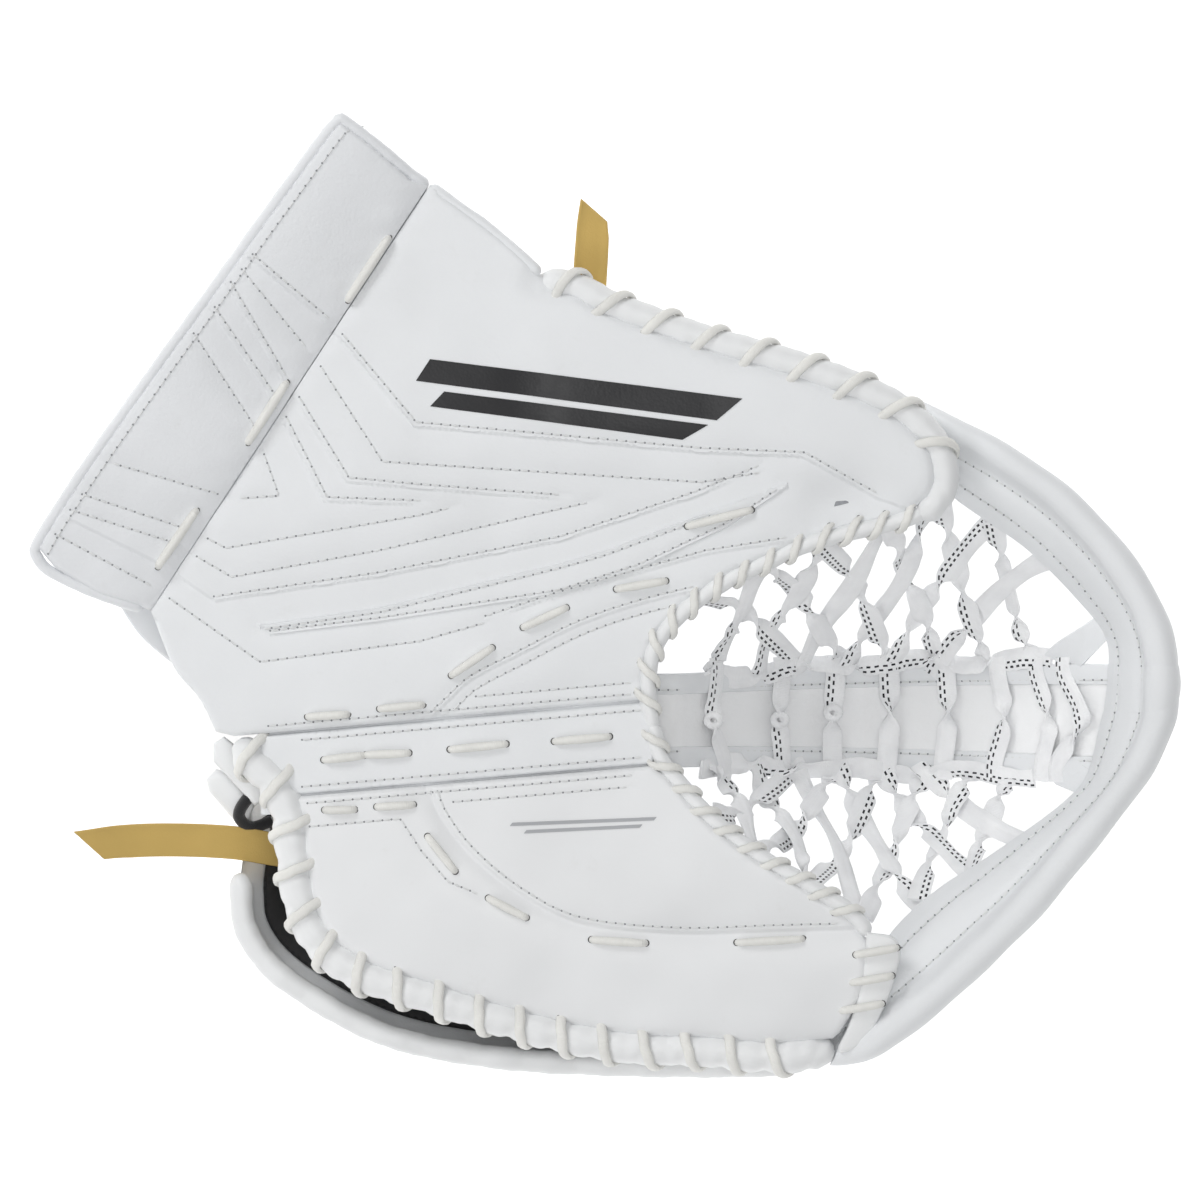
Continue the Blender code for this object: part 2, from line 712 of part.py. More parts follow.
def make_thumb_back():
    """The thumb side's back casing, the pad in it and the thumb stall."""
    welt_side = inset(smooth_path(THUMB_WELT, 16), THUMB_CASING_INSET)
    edge = THUMB_TOP[:2] + [tuple(p) for p in welt_side] + THUMB_CASING_POCKET
    outline = clockwise(joined(
        smooth_path(edge),
        seam_run(upper_seam, 8, -128, 2),
        smooth_path(THUMB_CASING_HEEL),
    ))
    height = casing_z(lowered(thumb_z, THUMB_CASING_DROP), edge)
    sheet("thumb_back_casing", outline, height, CASING, MAT["leather"], "thumb_side", CASING_GRID)
    sheet("thumb_back_pad", plan(THUMB_PAD), pad_top, PAD_THICK, MAT["foam"], "thumb_side")
    stall(*THUMB_STALL, thumb_z, "thumb_side")


def make_edges():
    """The welts round both palms, each with the lace that is wound round it."""
    wrapped_edge("finger_edge", raised(smooth_path(FINGER_WELT), finger_z, -4), FINGER_WELT_R,
                 FINGER_WELT_TURNS, "finger_side")
    wrapped_edge("thumb_edge", raised(smooth_path(THUMB_WELT), thumb_z, -3), THUMB_WELT_R,
                 THUMB_WELT_TURNS, "thumb_side")
    corner = lace_radius(POCKET_WELT_R, POCKET_TURN_POINTS)
    for label, path, height, turns, body in [
        ("pocket_thumb", THUMB_POCKET, thumb_z, 12, "thumb_side"),
        ("pocket_finger", FINGER_POCKET, finger_z, 9, "finger_side"),
    ]:
        line = raised(smooth_path(path), height, -3)
        tube(f"{label}_welt", line, POCKET_WELT_R, MAT["leather"], body)
        coil = spiral(line, turns, corner, POCKET_TURN_POINTS)
        tube(f"{label}_lace", coil[1:-1], POCKET_LACE_R, MAT["lace"], body)
    end_strip = raised(smooth_path(FINGER_END_WELT, 6), finger_z, -3)
    tube("finger_end_welt", end_strip, POCKET_WELT_R, MAT["leather"], "finger_side")


def make_cuff():
    """The cuff's layers and binding, the lace along its crease, and the strap behind it."""
    outline = cuff_outline()
    sheet("cuff_panel", shrink(outline, 3.2), cuff_z, LEATHER, MAT["shade"], "cuff")
    drop = LEATHER + LAYER_GAP
    sheet("cuff_foam", shrink(outline, 5), lowered(cuff_z, drop), FOAM, MAT["foam"], "cuff")
    drop += FOAM + LAYER_GAP
    sheet("cuff_liner", shrink(outline, 4), lowered(cuff_z, drop), LINER, MAT["liner"],
          "cuff")
    binding = smooth_path(CUFF_FOOT[::-1] + CUFF_EDGE[::-1] + CUFF_TOP)
    tube("cuff_binding", raised(binding, cuff_z, -3), BINDING_WIDE_R, MAT["leather"], "cuff")
    lace = []
    for step in range(CREASE_LACE_STEPS + 1):
        along = 0.04 + 0.92 * step / CREASE_LACE_STEPS
        lift = LACE_PROUD if step % 8 in (3, 4, 5) else -LACE_SUNK
        spot = Vector(CREASE_LOW).lerp(Vector(CREASE_TOP), along)
        lace.append(Vector((spot.x, spot.y, crease_z(along) + lift)))
    tube("cuff_lace", lace, LACE_R, MAT["lace"], "thumb_side")
    sheet("wrist_strap", plan(WRIST_STRAP), lowered(thumb_z, WRIST_STRAP_DROP), LEATHER,
          MAT["shade"], "thumb_side")


def punch_hole(strip, number, x):
    """A round hole through the break strip."""
    middle = (upper_seam(x) + lower_seam(x)) / 2
    bpy.ops.mesh.primitive_cylinder_add(vertices=8, radius=LACE_HOLE_R * MM, depth=12 * MM,
                                        location=(x * MM, middle * MM, seam_z(x) * MM))
    punch = bpy.context.object
    punch.name = f"lace_hole_{number}"
    for owner in list(punch.users_collection):
        owner.objects.unlink(punch)
    CUTTERS.objects.link(punch)
    punch.hide_render = True
    punch.display_type = "WIRE"
    cut = strip.modifiers.new(f"hole_{number}", "BOOLEAN")
    cut.operation = "DIFFERENCE"
    cut.object = punch


def make_break():
    """The break strip, which lies between the two seams, and the lace that runs through it."""
    outline = clockwise(joined(
        seam_run(upper_seam, -110, 15, -SEAM_GAP),
        seam_run(lower_seam, 20, -97, SEAM_GAP),
    ))
    strip = sheet("break_strip", outline, lambda x, y: seam_z(x) - STRIP_DROP, STRIP_THICK,
                  MAT["shade"], "t_trap")
    lace = []
    holes = []
    for first_x, last_x in BREAK_STITCHES:
        for x, lift in [(first_x, -6.4), (first_x + 1.6, 1.1), (last_x - 1.6, 1.1), (last_x, -6.4)]:
            middle = (upper_seam(x) + lower_seam(x)) / 2
            lace.append(Vector((x, middle, seam_z(x) + lift)))
        holes += [first_x + 0.8, last_x - 0.8]
    tube("break_lace", lace, LACE_R, MAT["lace"], "t_trap")
    for number, x in enumerate(holes):
        punch_hole(strip, number, x)


def make_band():
    """The strip across the pocket's floor, its bindings and the lace columns on it."""
    xs = [BAND_START_X + (BAND_END_X - BAND_START_X) * i / BAND_STEPS for i in range(BAND_STEPS + 1)]
    line = [Vector((x, BAND_MID_Y, band_z(x))) for x in xs]
    halves = [band_half(x) - BINDING_R - 0.4 for x in xs]
    ribbon("pocket_band", line, halves, BAND_THICK, MAT["leather"], "t_trap")
    for label, side in [("upper", 1), ("lower", -1)]:
        edge = [Vector((x, BAND_MID_Y + side * band_half(x), band_z(x))) for x in xs]
        tube(f"pocket_band_binding_{label}", edge, BINDING_R, MAT["leather"], "t_trap")
    for number, x in enumerate(COLUMN_X):
        column = []
        for step in range(COLUMN_STEPS + 1):
            along = step / COLUMN_STEPS
            at = x + COLUMN_SWAY * math.sin(2 * math.pi * along)
            on_band = Vector((at, BAND_MID_Y + band_half(x) * (1 - 2 * along), band_z(at)))
            column.append(on_band + band_normal(at) * (BINDING_R + COLUMN_R + LACE_CLEAR))
        tube(f"lace_column_{number + 1}", column, COLUMN_R, MAT["lace"], "t_trap")


def make_rim_and_nets():
    rim("rim_upper", RIM_UPPER_LIP, RIM_UPPER_FOOT, "thumb_side", 14)
    rim("rim_crest", RIM_CREST_LIP, RIM_CREST_FOOT, "t_trap", 3)
    rim("rim_lower", RIM_LOWER_LIP, RIM_LOWER_FOOT, "finger_side", 18)
    net("web_net_upper", NET_UPPER_EDGE, 1, NET_UPPER_END_X, "thumb_side")
    net("web_net_lower", NET_LOWER_EDGE, -1, NET_LOWER_END_X, "finger_side")


def make_heel():
    """The tab, rolled loop and elastic at the heel."""
    sheet("heel_tab", plan(HEEL_TAB), lambda x, y: HEEL_TAB_Z, LEATHER, MAT["leather"],
          "finger_side")
    tube("heel_strap_loop", smooth_path(HEEL_LOOP, 4), 3.4, MAT["leather"], "finger_side", 2)
    tube("elastic_loop", smooth_path(ELASTIC_LOOP, 3), 1.7, MAT["liner"], "finger_side")


def make_straps():
    """The two strap tails, each running through its keeper."""
    line = [HAND_STRAP_MIDDLE + HAND_STRAP_RUN * d for d in (-30, 0, 8)]
    line += [Vector(p) for p in HAND_STRAP_TAIL]
    halves = [STRAP_HALF] * (len(line) - 1) + [3.5]
    ribbon("hand_strap", line, halves, STRAP_THICK, MAT["tan"], "hand_strap")
    buckle("hand_strap_keeper", HAND_STRAP_MIDDLE, (0.14, 1, 0), (0, 0, 1), 9.5, 3, "finger_side")
    line = [THUMB_STRAP_MIDDLE + THUMB_STRAP_RUN * d for d in (-16, 0, 20, 40, 50, 57)]
    halves = [STRAP_HALF] * 4 + [5.8, 2.5]
    ribbon("thumb_strap", line, halves, STRAP_THICK, MAT["tan"], "thumb_strap", THUMB_STRAP_SIDE)
    buckle("thumb_strap_keeper", THUMB_STRAP_MIDDLE, THUMB_STRAP_SIDE, (0, -0.34, 0.94), 9.5, 3.6,
           "thumb_side")


clear_scene()
PARTS = collection_named(COLLECTION)
CUTTERS = collection_named("cutters", hidden=True)
MAT = {
    "leather": material("white_leather", WHITE_LEATHER, 0.5),
    "shade": material("grey_white_leather", SHADE_LEATHER, 0.55),
    "lace": material("waxed_lace", LACE_WHITE, 0.7),
    "liner": material("black_liner", BLACK, 0.9),
    "foam": material("foam", FOAM_GREY, 0.95),
    "board": material("plastic_board", FOAM_GREY, 0.4),
    "tan": material("tan_strap", TAN, 0.8),
    "steel": material("nickel_wire", STEEL, 0.25, 1.0),
}
CREASE_MIDDLE = (Vector(CREASE_TOP) + Vector(CREASE_LOW)) / 2
BODIES = {
    "finger_side": body_empty("finger_side_origin", (0, 0, 0)),
    "t_trap": body_empty("lower_seam_axis", (SEAM_MID_X, LOWER_SEAM_Y, PALM_Z)),
    "thumb_side": body_empty("upper_seam_axis", (SEAM_MID_X, UPPER_SEAM_Y, PALM_Z)),
    "cuff": body_empty("crease_axis", (*CREASE_MIDDLE, crease_z(0.5))),
    "hand_strap": body_empty("hand_strap_slide", HAND_STRAP_MIDDLE),
    "thumb_strap": body_empty("thumb_strap_slide", THUMB_STRAP_MIDDLE),
}
bpy.context.view_layer.update()
make_finger_palm()
make_finger_back()
make_thumb_palm()
make_thumb_back()
make_edges()
make_cuff()
make_break()
make_band()
make_rim_and_nets()
make_heel()
make_straps()
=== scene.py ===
import math

import bmesh
import bpy
import numpy as np
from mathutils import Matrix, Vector, bvhtree, geometry, kdtree


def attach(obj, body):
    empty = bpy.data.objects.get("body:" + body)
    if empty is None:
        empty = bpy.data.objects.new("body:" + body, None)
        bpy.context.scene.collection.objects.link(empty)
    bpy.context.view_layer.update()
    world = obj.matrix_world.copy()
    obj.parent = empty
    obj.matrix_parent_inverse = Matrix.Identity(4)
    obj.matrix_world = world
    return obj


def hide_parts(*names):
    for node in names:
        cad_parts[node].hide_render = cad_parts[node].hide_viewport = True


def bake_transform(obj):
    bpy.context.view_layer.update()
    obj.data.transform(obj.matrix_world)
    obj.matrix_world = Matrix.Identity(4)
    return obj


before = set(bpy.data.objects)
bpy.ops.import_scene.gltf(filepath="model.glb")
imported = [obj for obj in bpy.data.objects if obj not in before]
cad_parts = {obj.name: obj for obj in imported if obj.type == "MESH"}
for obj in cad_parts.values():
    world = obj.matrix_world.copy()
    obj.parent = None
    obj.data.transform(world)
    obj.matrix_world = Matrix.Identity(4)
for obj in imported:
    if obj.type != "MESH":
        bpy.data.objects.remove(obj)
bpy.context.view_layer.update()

MM = 0.001
RNG = np.random.default_rng(7)

# ------------------------------------------------------------------ outlines, in millimetres
CREASE_TOP = np.array([-60.0, 146.0])
CREASE_LOW = np.array([-160.0, -4.0])
CUFF_EDGE = [(-91, 169), (-98, 161), (-127, 122), (-172, 61), (-194, 29), (-200, 19)]
CUFF_FOOT = [(-200, 16), (-195, 10), (-178, 2), (-163, -3)]
THUMB_TOP = [(-60, 146), (-38, 130), (-21, 115)]
THUMB_WELT = [(-22, 112), (-9, 111), (2, 105), (20, 98), (40, 91), (60, 85.5), (80, 79), (97, 72),
              (110, 64), (119, 53), (121, 42), (118, 34), (112, 29.5)]
THUMB_POCKET = [(114, 31), (104, 27.5), (89, 24), (74, 20), (60, 14), (45, 7), (32, -2),
                (22, -12), (17.5, -23), (17, -36)]
THUMB_HEEL = [(-137, -47), (-143, -35), (-152, -24), (-160, -4)]
FINGER_WELT = [(-129, -50), (-124, -57), (-116, -65), (-111, -76), (-109, -92), (-106, -110),
               (-98, -124), (-84, -133.5), (-62, -140.5), (-40, -147.5), (-16, -154), (10, -158.5),
               (36, -159.5), (62, -161.5), (83, -159.5)]
FINGER_POCKET = [(21, -55), (24, -60), (30, -67), (39, -77), (55, -89.5), (75, -101.5),
                 (88, -110), (95, -118)]
FINGER_END = [(96, -120), (92, -140), (85, -153)]
CASING_EDGE = [(-130, -103), (-128, -119), (-116, -135), (-89, -152), (-63, -161), (-28, -166),
               (4, -167.5), (40, -168), (72, -167), (87, -160), (90, -142), (90, -124),
               (70, -107), (50, -95), (34, -81), (22, -66)]
SHIELD_EDGE = [(-60, -68), (-56, -77), (-46, -90), (-29, -104), (-7, -114.5), (28, -118),
               (60, -117), (92, -116)]
RIM_UPPER_LIP = [(114, 66, 60), (121, 62, 66), (139, 52, 74), (159, 38, 80), (174, 23, 85),
                 (186, 7, 88), (193.4, -8, 90), (196, -18, 90.5), (196.7, -25, 90.5),
                 (196.7, -32, 90.5)]
RIM_UPPER_FOOT = [(122, 42, 56), (127, 36, 57), (149, 22, 58), (161, 12, 58), (172, 1, 58),
                  (179, -7, 59), (182, -13, 60), (183, -18, 60), (183, -25, 60), (183, -32, 60)]
RIM_LOWER_LIP = [(196.7, -30, 90.5), (196.5, -37, 90), (195, -44.5, 90), (189, -58, 88.5),
                 (180, -71, 86), (168, -86, 83), (151, -107, 79), (134, -124.5, 75),
                 (117, -140.5, 71), (104, -151, 68), (95, -157, 65), (84, -160, 58)]
RIM_LOWER_FOOT = [(183, -30, 60), (182, -37, 60), (180, -44.5, 60), (176, -62, 58),
                  (169, -71, 57), (157, -81, 55), (138, -94, 54), (122, -104, 53),
                  (107, -117, 53), (97, -131, 56), (91, -145, 56), (86, -155, 50)]
LIP_R = 5.8
BAND_START_X, BAND_END_X, BAND_MID_Y = 27.0, 171.0, -42.0
BAND_FLOOR_Z, BAND_START_Z, BAND_END_Z = 9.0, 60.0, 54.0
BAND_START_HALF, BAND_END_HALF = 15.5, 19.0


# ------------------------------------------------------------------ paths
def lengths_along(line):
    """How far along a polyline each of its points is."""
    return np.r_[0, np.cumsum(np.linalg.norm(np.diff(line, axis=0), axis=1))]


def resample(line, step):
    """The polyline as points an even distance of about one step apart."""
    lengths = lengths_along(line)
    at = np.linspace(0, lengths[-1], max(2, round(lengths[-1] / step) + 1))
    return np.column_stack([np.interp(at, lengths, line[:, k]) for k in range(line.shape[1])])


def curve(points, step=3.0):
    """Even points on the Catmull-Rom curve through the given ones."""
    knots = np.asarray(points, float)
    ends = np.vstack([2 * knots[0] - knots[1], knots, 2 * knots[-1] - knots[-2]])
    t = np.linspace(0, 1, 24, endpoint=False)[:, None]
    made = [0.5 * (2 * b + (c - a) * t + (2 * a - 5 * b + 4 * c - d) * t**2
                   + (3 * b - a - 3 * c + d) * t**3)
            for a, b, c, d in zip(ends, ends[1:], ends[2:], ends[3:])]
    return resample(np.vstack(made + [knots[-1:]]), step)


def corners(points, step=3.0):
    """A polyline whose corners stay, as even points on each straight run."""
    knots = np.asarray(points, float)
    made = [resample(np.array([a, b]), step)[:-1] for a, b in zip(knots, knots[1:])]
    return np.vstack(made + [knots[-1:]])


def unit(v):
    """The vectors at length one."""
    return v / np.maximum(np.linalg.norm(v, axis=-1, keepdims=True), 1e-9)


def shift(path, distance):
    """A plan path moved to its right-hand side."""
    run = unit(np.gradient(path[:, :2], axis=0))
    return path[:, :2] + np.column_stack([run[:, 1], -run[:, 0]]) * distance


def away(points, line):
    """For each plan point, its distance to a polyline and the side it is on: + is left."""
    points = np.asarray(points, float)[:, :2]
    a, b = line[:-1, :2], line[1:, :2]
    run = b - a
    square = np.maximum((run**2).sum(1), 1e-9)
    best = np.empty(len(points))
    side = np.empty(len(points))
    for lo in range(0, len(points), 4000):
        p = points[lo:lo + 4000, None, :]
        t = np.clip(((p - a) * run).sum(2) / square, 0, 1)
        off = p - a - run * t[..., None]
        far = (off**2).sum(2)
        near = far.argmin(1)
        rows = np.arange(len(near))
        best[lo:lo + 4000] = np.sqrt(far[rows, near])
        cross = run[near, 0] * off[rows, near, 1] - run[near, 1] * off[rows, near, 0]
        side[lo:lo + 4000] = np.sign(cross)
    return best, side


def inside(points, ring):
    """Which plan points are inside a ring."""
    a, b = ring, np.roll(ring, -1, axis=0)
    x, y = points[:, :1], points[:, 1:2]
    turns = np.zeros(len(points), int)
    for lo in range(0, len(a), 400):
        p, q = a[lo:lo + 400], b[lo:lo + 400]
        spans = (p[:, 1] > y) != (q[:, 1] > y)
        with np.errstate(divide="ignore", invalid="ignore"):
            cut = p[:, 0] + (q[:, 0] - p[:, 0]) * (y - p[:, 1]) / (q[:, 1] - p[:, 1])
        turns += (spans & (x < cut)).sum(1)
    return turns % 2 == 1


def ring_of(*paths):
    """One closed clockwise outline from runs that meet."""
    line = np.vstack([np.asarray(p, float)[:, :2] for p in paths])
    keep = [0]
    for i in range(1, len(line)):
        if np.linalg.norm(line[i] - line[keep[-1]]) > 0.8:
            keep.append(i)
    line = line[keep]
    if np.linalg.norm(line[0] - line[-1]) < 0.8:
        line = line[:-1]
    after = np.roll(line, -1, axis=0)
    area = (line[:, 0] * after[:, 1] - line[:, 1] * after[:, 0]).sum()
    return line if area < 0 else line[::-1]


def close(ring):
    """The ring with its first point again at the end."""
    return np.vstack([ring, ring[:1]])


def inwards(ring):
    """The unit vector into a clockwise ring, at each of its points."""
    run = unit(np.roll(ring, -1, axis=0) - np.roll(ring, 1, axis=0))
    return np.column_stack([run[:, 1], -run[:, 0]])


def plan(x, y):
    """Arrays of x and y as rows of plan points."""
    return np.column_stack([np.ravel(x), np.ravel(y)]).astype(float)


def smooth(t):
    """A soft step from 0 to 1."""
    t = np.clip(t, 0, 1)
    return t * t * (3 - 2 * t)


# ------------------------------------------------------------------ heights
def upper_seam(x):
    return -42.6 + 0.09 * (x + 60)


def lower_seam(x):
    return -65.3 + 0.09 * (x + 60)


def seam_z(x):
    return 62 + 0.11 * (x + 60)


def thumb_z(x, y):
    out = np.maximum(0, y - upper_seam(x))
    return seam_z(x) + 0.04 * out + 0.0001 * out**2


def finger_z(x, y):
    out = np.maximum(0, lower_seam(x) - y)
    return seam_z(x) + 0.02 * out - 0.0012 * out**2


CREASE_RUN = CREASE_TOP - CREASE_LOW
CREASE_LENGTH = np.linalg.norm(CREASE_RUN)
CREASE_SIDE = np.array([-CREASE_RUN[1], CREASE_RUN[0]]) / CREASE_LENGTH


def crease_z(along):
    low, top = thumb_z(*CREASE_LOW), thumb_z(*CREASE_TOP)
    return low + (top - low) * along


def beyond_crease(x, y):
    return (x - CREASE_LOW[0]) * CREASE_SIDE[0] + (y - CREASE_LOW[1]) * CREASE_SIDE[1]


def cuff_z(x, y):
    along = ((x - CREASE_LOW[0]) * CREASE_RUN[0] + (y - CREASE_LOW[1]) * CREASE_RUN[1])
    out = np.maximum(0, beyond_crease(x, y))
    return crease_z(along / CREASE_LENGTH**2) + 0.26 * out


def waves(x, y, scale, size):
    """Low swells in the leather, the same on every run."""
    x, y = np.asarray(x) / scale, np.asarray(y) / scale
    return size * (np.sin(1.7 * x + 0.9 * y + 0.4) + np.sin(-0.8 * x + 1.9 * y + 1.3)
                   + 0.7 * np.sin(2.9 * x - 2.3 * y + 2.1)) / 2.7


# The stitched shapes on the thumb side. A step is (line, height, x where it fades, over how far);
# the raised side is on the line's left.
EDGE_A = [(-140, 133), (-127, 123), (-97, 98), (-66, 61), (35.5, 51.5), (71, 50), (97, 35.5),
          (116, 29)]
EDGE_C = [(-144, 132), (-134, 115), (-112, 77), (-90, 41.5), (-64, 39), (-12, 35)]
EDGE_D = [(-150, 122), (-140, 106), (-117, 72), (-98, 34.6), (-62, 33.2)]
EDGE_H = [(-202, 36), (-192, 30.5), (-157, 13), (-137, -0.7), (-78, 7.9), (-14, 20.5),
          (33.5, 36.1), (58, 46)]
ARROW = [(-117, -12.6), (-78, -7.9), (-14, 2), (14, 11), (45, 25.5), (66, 39.5), (66, 41.4),
         (38, 31), (0.7, 17.2), (-14, 13.1), (-78, -2.6), (-122, -9), (-117, -12.6)]
EDGE_J = [(-40, -7.3), (-16.7, 0.4), (13.8, 9.2), (37.5, 15.8), (75, 21.7)]
ARC_SEAM = [(-60, -42), (-53, -35.5), (-45, -28.4), (-28, -19.5), (-7, -9), (14, -1.8),
            (42.6, 5.3)]
STEPS = [(EDGE_A, 0.75, None), (EDGE_C, 0.6, (-22, -10)), (EDGE_D, 0.6, (-72, -62)),
         (EDGE_H, 0.65, (36, 52)), (EDGE_J, 0.5, (-26, -39))]
THUMB_STITCHES = [
    [(-129, 120), (-100, 84.5), (-77, 49), (35.5, 41.5), (57, 45)],
    [(-187, 38.7), (-144.5, 24.5), (-133, 18.5), (-64, 30), (-51, 33.2)],
    [(-192, 33.4), (-152, 20.6), (-131, 8.2), (-78, 17.7), (-1, 35.2)],
    [(-144.5, 96), (-123, 62.5), (-114, 37), (-130, 36), (-178, 50)],
    [(-195, 24.5), (-160, 5.3), (-121, -22), (-64, -14.6), (-40, -7.8)],
]
THUMB_OFFSET_STITCHES = [(EDGE_A[1:-1], -2.0), (EDGE_C[1:], -2.0), (EDGE_D[1:], -2.0),
                         (EDGE_H[3:], -2.0), (ARROW[:6], -1.7), (ARROW[7:12], -1.7),
                         (EDGE_J, -1.8)]


def seam_row(seam, start, end, offset):
    """A row of sewing beside a seam."""
    xs = np.arange(start, end, 2.0)
    return np.column_stack([xs, seam(xs) + offset])


def thumb_lines():
    lines = [corners(points, 2.0) for points in THUMB_STITCHES]
    lines += [shift(corners(points, 2.0), d) for points, d in THUMB_OFFSET_STITCHES]
    arc = curve(ARC_SEAM, 2.0)
    lines += [shift(arc, -1.8), shift(arc, 3.2)]
    return lines + [seam_row(upper_seam, -118, 15, 3.0), seam_row(upper_seam, -44, 15, 7.0)]


THUMB_LINES = thumb_lines()
THUMB_ROWS = np.vstack(THUMB_LINES)


def near_points(points, rows):
    """Distance from each plan point to the nearest of many points."""
    tree = kdtree.KDTree(len(rows))
    for i, row in enumerate(rows):
        tree.insert((row[0], row[1], 0), i)
    tree.balance()
    return np.array([tree.find((p[0], p[1], 0))[2] for p in points])


def thumb_relief(x, y):
    """How far the stitched shapes stand above the plain palm, on both sides of the crease."""
    flat = plan(x, y)
    made = np.zeros(len(flat))
    for points, height, fade in STEPS:
        far, side = away(flat, corners(points, 3.0))
        step = 1.5 * height * smooth(far * side / 0.45)
        if fade:
            step *= 1 - smooth((flat[:, 0] - fade[0]) / (fade[1] - fade[0]))
        made += step
    arrow = corners(ARROW, 2.0)
    far, _ = away(flat, arrow)
    made += 1.1 * smooth(far / 0.45) * inside(flat, arrow[:-1])
    arc = curve(ARC_SEAM, 2.0)
    far, side = away(flat, arc)
    made += 0.8 * smooth(far * side / 0.45)
    near = near_points(flat, THUMB_ROWS)
    made += 0.55 * (1 - np.exp(-(near / 3.2)**2)) - 0.3 * np.exp(-(near / 0.7)**2)
    crease_off = np.abs(beyond_crease(flat[:, 0], flat[:, 1]))
    made -= 0.9 * np.exp(-(crease_off / 2.6)**2)
    made += 0.35 * np.exp(-((crease_off - 6) / 4)**2) * np.sin(flat[:, 1] / 1.9)
    hollow = ((flat[:, 0] - 84) / 19)**2 + ((flat[:, 1] - 33) / 11)**2
    made -= 4.6 * np.exp(-hollow)
    return made.reshape(np.shape(x))


def thumb_surface(x, y):
    return thumb_z(x, y) + thumb_relief(x, y) + waves(x, y, 19, 0.75) - 0.6


def cuff_surface(x, y):
    out = beyond_crease(x, y)
    swell = 1.2 * np.sin(np.pi * np.clip(out / 42, 0, 1))
    return cuff_z(x, y) + thumb_relief(x, y) + swell + waves(x, y, 16, 0.6) - 0.6


SHIELD = curve(SHIELD_EDGE, 2.0)
FINGER_STITCHES = [(-104, -80.6), (-70.9, -77.6), (-63, -89.5), (-54, -99.8), (-41.5, -105)]
FINGER_LINES = [seam_row(lower_seam, -104, 16, -3.0), seam_row(lower_seam, -52, 14, -7.0),
                corners(FINGER_STITCHES, 2.0), shift(SHIELD, -2.2)]
FINGER_ROWS = np.vstack(FINGER_LINES)


def finger_surface(x, y):
    """The finger palm: a smooth raised shield, and a puffed channel between it and the welt."""
    flat = plan(x, y)
    far, side = away(flat, SHIELD)
    on_shield = side > 0
    made = 0.9 * smooth(far * side / 0.8) - 0.8 * np.exp(-(far / 1.6)**2)
    made += np.where(on_shield, 1.4 * (1 - np.exp(-(far / 14)**2)), 2.0 * (1 - np.exp(-(far / 9)**2)))
    near = near_points(flat, FINGER_ROWS)
    made += 0.4 * (1 - np.exp(-(near / 3.2)**2)) - 0.3 * np.exp(-(near / 0.7)**2)
    z = finger_z(flat[:, 0], flat[:, 1]) + made + waves(flat[:, 0], flat[:, 1], 17, 0.7) - 1.0
    return z.reshape(np.shape(x))


def band_z(x):
    along = np.clip((x - BAND_START_X) / (BAND_END_X - BAND_START_X), -0.1, 1)
    rope = BAND_START_Z + (BAND_END_Z - BAND_START_Z) * along
    return rope - (rope - BAND_FLOOR_Z) * np.maximum(0, 1 - np.abs(2 * along - 1)**2.2) \
        + 0.45 * np.maximum(0, x - BAND_END_X)


def band_half(x):
    along = np.clip((x - BAND_START_X) / (BAND_END_X - BAND_START_X), 0, 1)
    return BAND_START_HALF + (BAND_END_HALF - BAND_START_HALF) * along


# ------------------------------------------------------------------ meshes
class Shape:
    """A mesh in the making: points in millimetres, faces, and a UV for each corner of each face."""

    def __init__(self):
        self.points, self.faces, self.uvs, self.paints = [], [], [], []
        self.count = 0

    def add(self, points, faces, uvs=None, paint=0):
        points = np.asarray(points, float).reshape(-1, 3)
        self.points.append(points)
        for k, face in enumerate(faces):
            self.faces.append(tuple(int(i) + self.count for i in face))
            self.uvs.append(uvs[k] if uvs else [(0.0, 0.0)] * len(face))
            self.paints.append(paint)
        self.count += len(points)

    def grid(self, rows, caps=True, across=None):
        """Rings of equal length joined into a skin; across gives the UV round a ring."""
        rows = np.asarray(rows, float)
        count, wide = rows.shape[:2]
        lengths = lengths_along(rows.mean(1))
        if across is None:
            across = np.linspace(0, 1, wide + 1)
        faces, uvs = [], []
        for r in range(count - 1):
            for i in range(wide):
                j = (i + 1) % wide
                a, b = r * wide, (r + 1) * wide
                faces.append((a + i, a + j, b + j, b + i))
                u0, u1, v0, v1 = lengths[r], lengths[r + 1], across[i], across[i + 1]
                uvs.append([(u0, v0), (u0, v1), (u1, v1), (u1, v0)])
        points = rows.reshape(-1, 3)
        if caps:
            ends = np.array([rows[0].mean(0), rows[-1].mean(0)])
            base = count * wide
            points = np.vstack([points, ends])
            for i in range(wide):
                j = (i + 1) % wide
                faces.append((base, j, i))
                uvs.append([(0.0, 0.3)] * 3)
                faces.append((base + 1, (count - 1) * wide + i, (count - 1) * wide + j))
                uvs.append([(0.0, 0.3)] * 3)
        self.add(points, faces, uvs)

    def make(self, name, paints, sharp=60):
        mesh = bpy.data.meshes.new(name)
        mesh.from_pydata((np.vstack(self.points) * MM).tolist(), [], self.faces)
        flat = [c for face in self.uvs for uv in face for c in uv]
        mesh.uv_layers.new(name="UVMap").data.foreach_set("uv", flat)
        for paint in paints:
            mesh.materials.append(paint)
        mesh.polygons.foreach_set("material_index", self.paints)
        made = bpy.data.objects.new(name, mesh)
        bpy.context.scene.collection.objects.link(made)
        face_outwards(made)
        mesh.shade_smooth()
        mesh.set_sharp_from_angle(angle=math.radians(sharp))
        return made


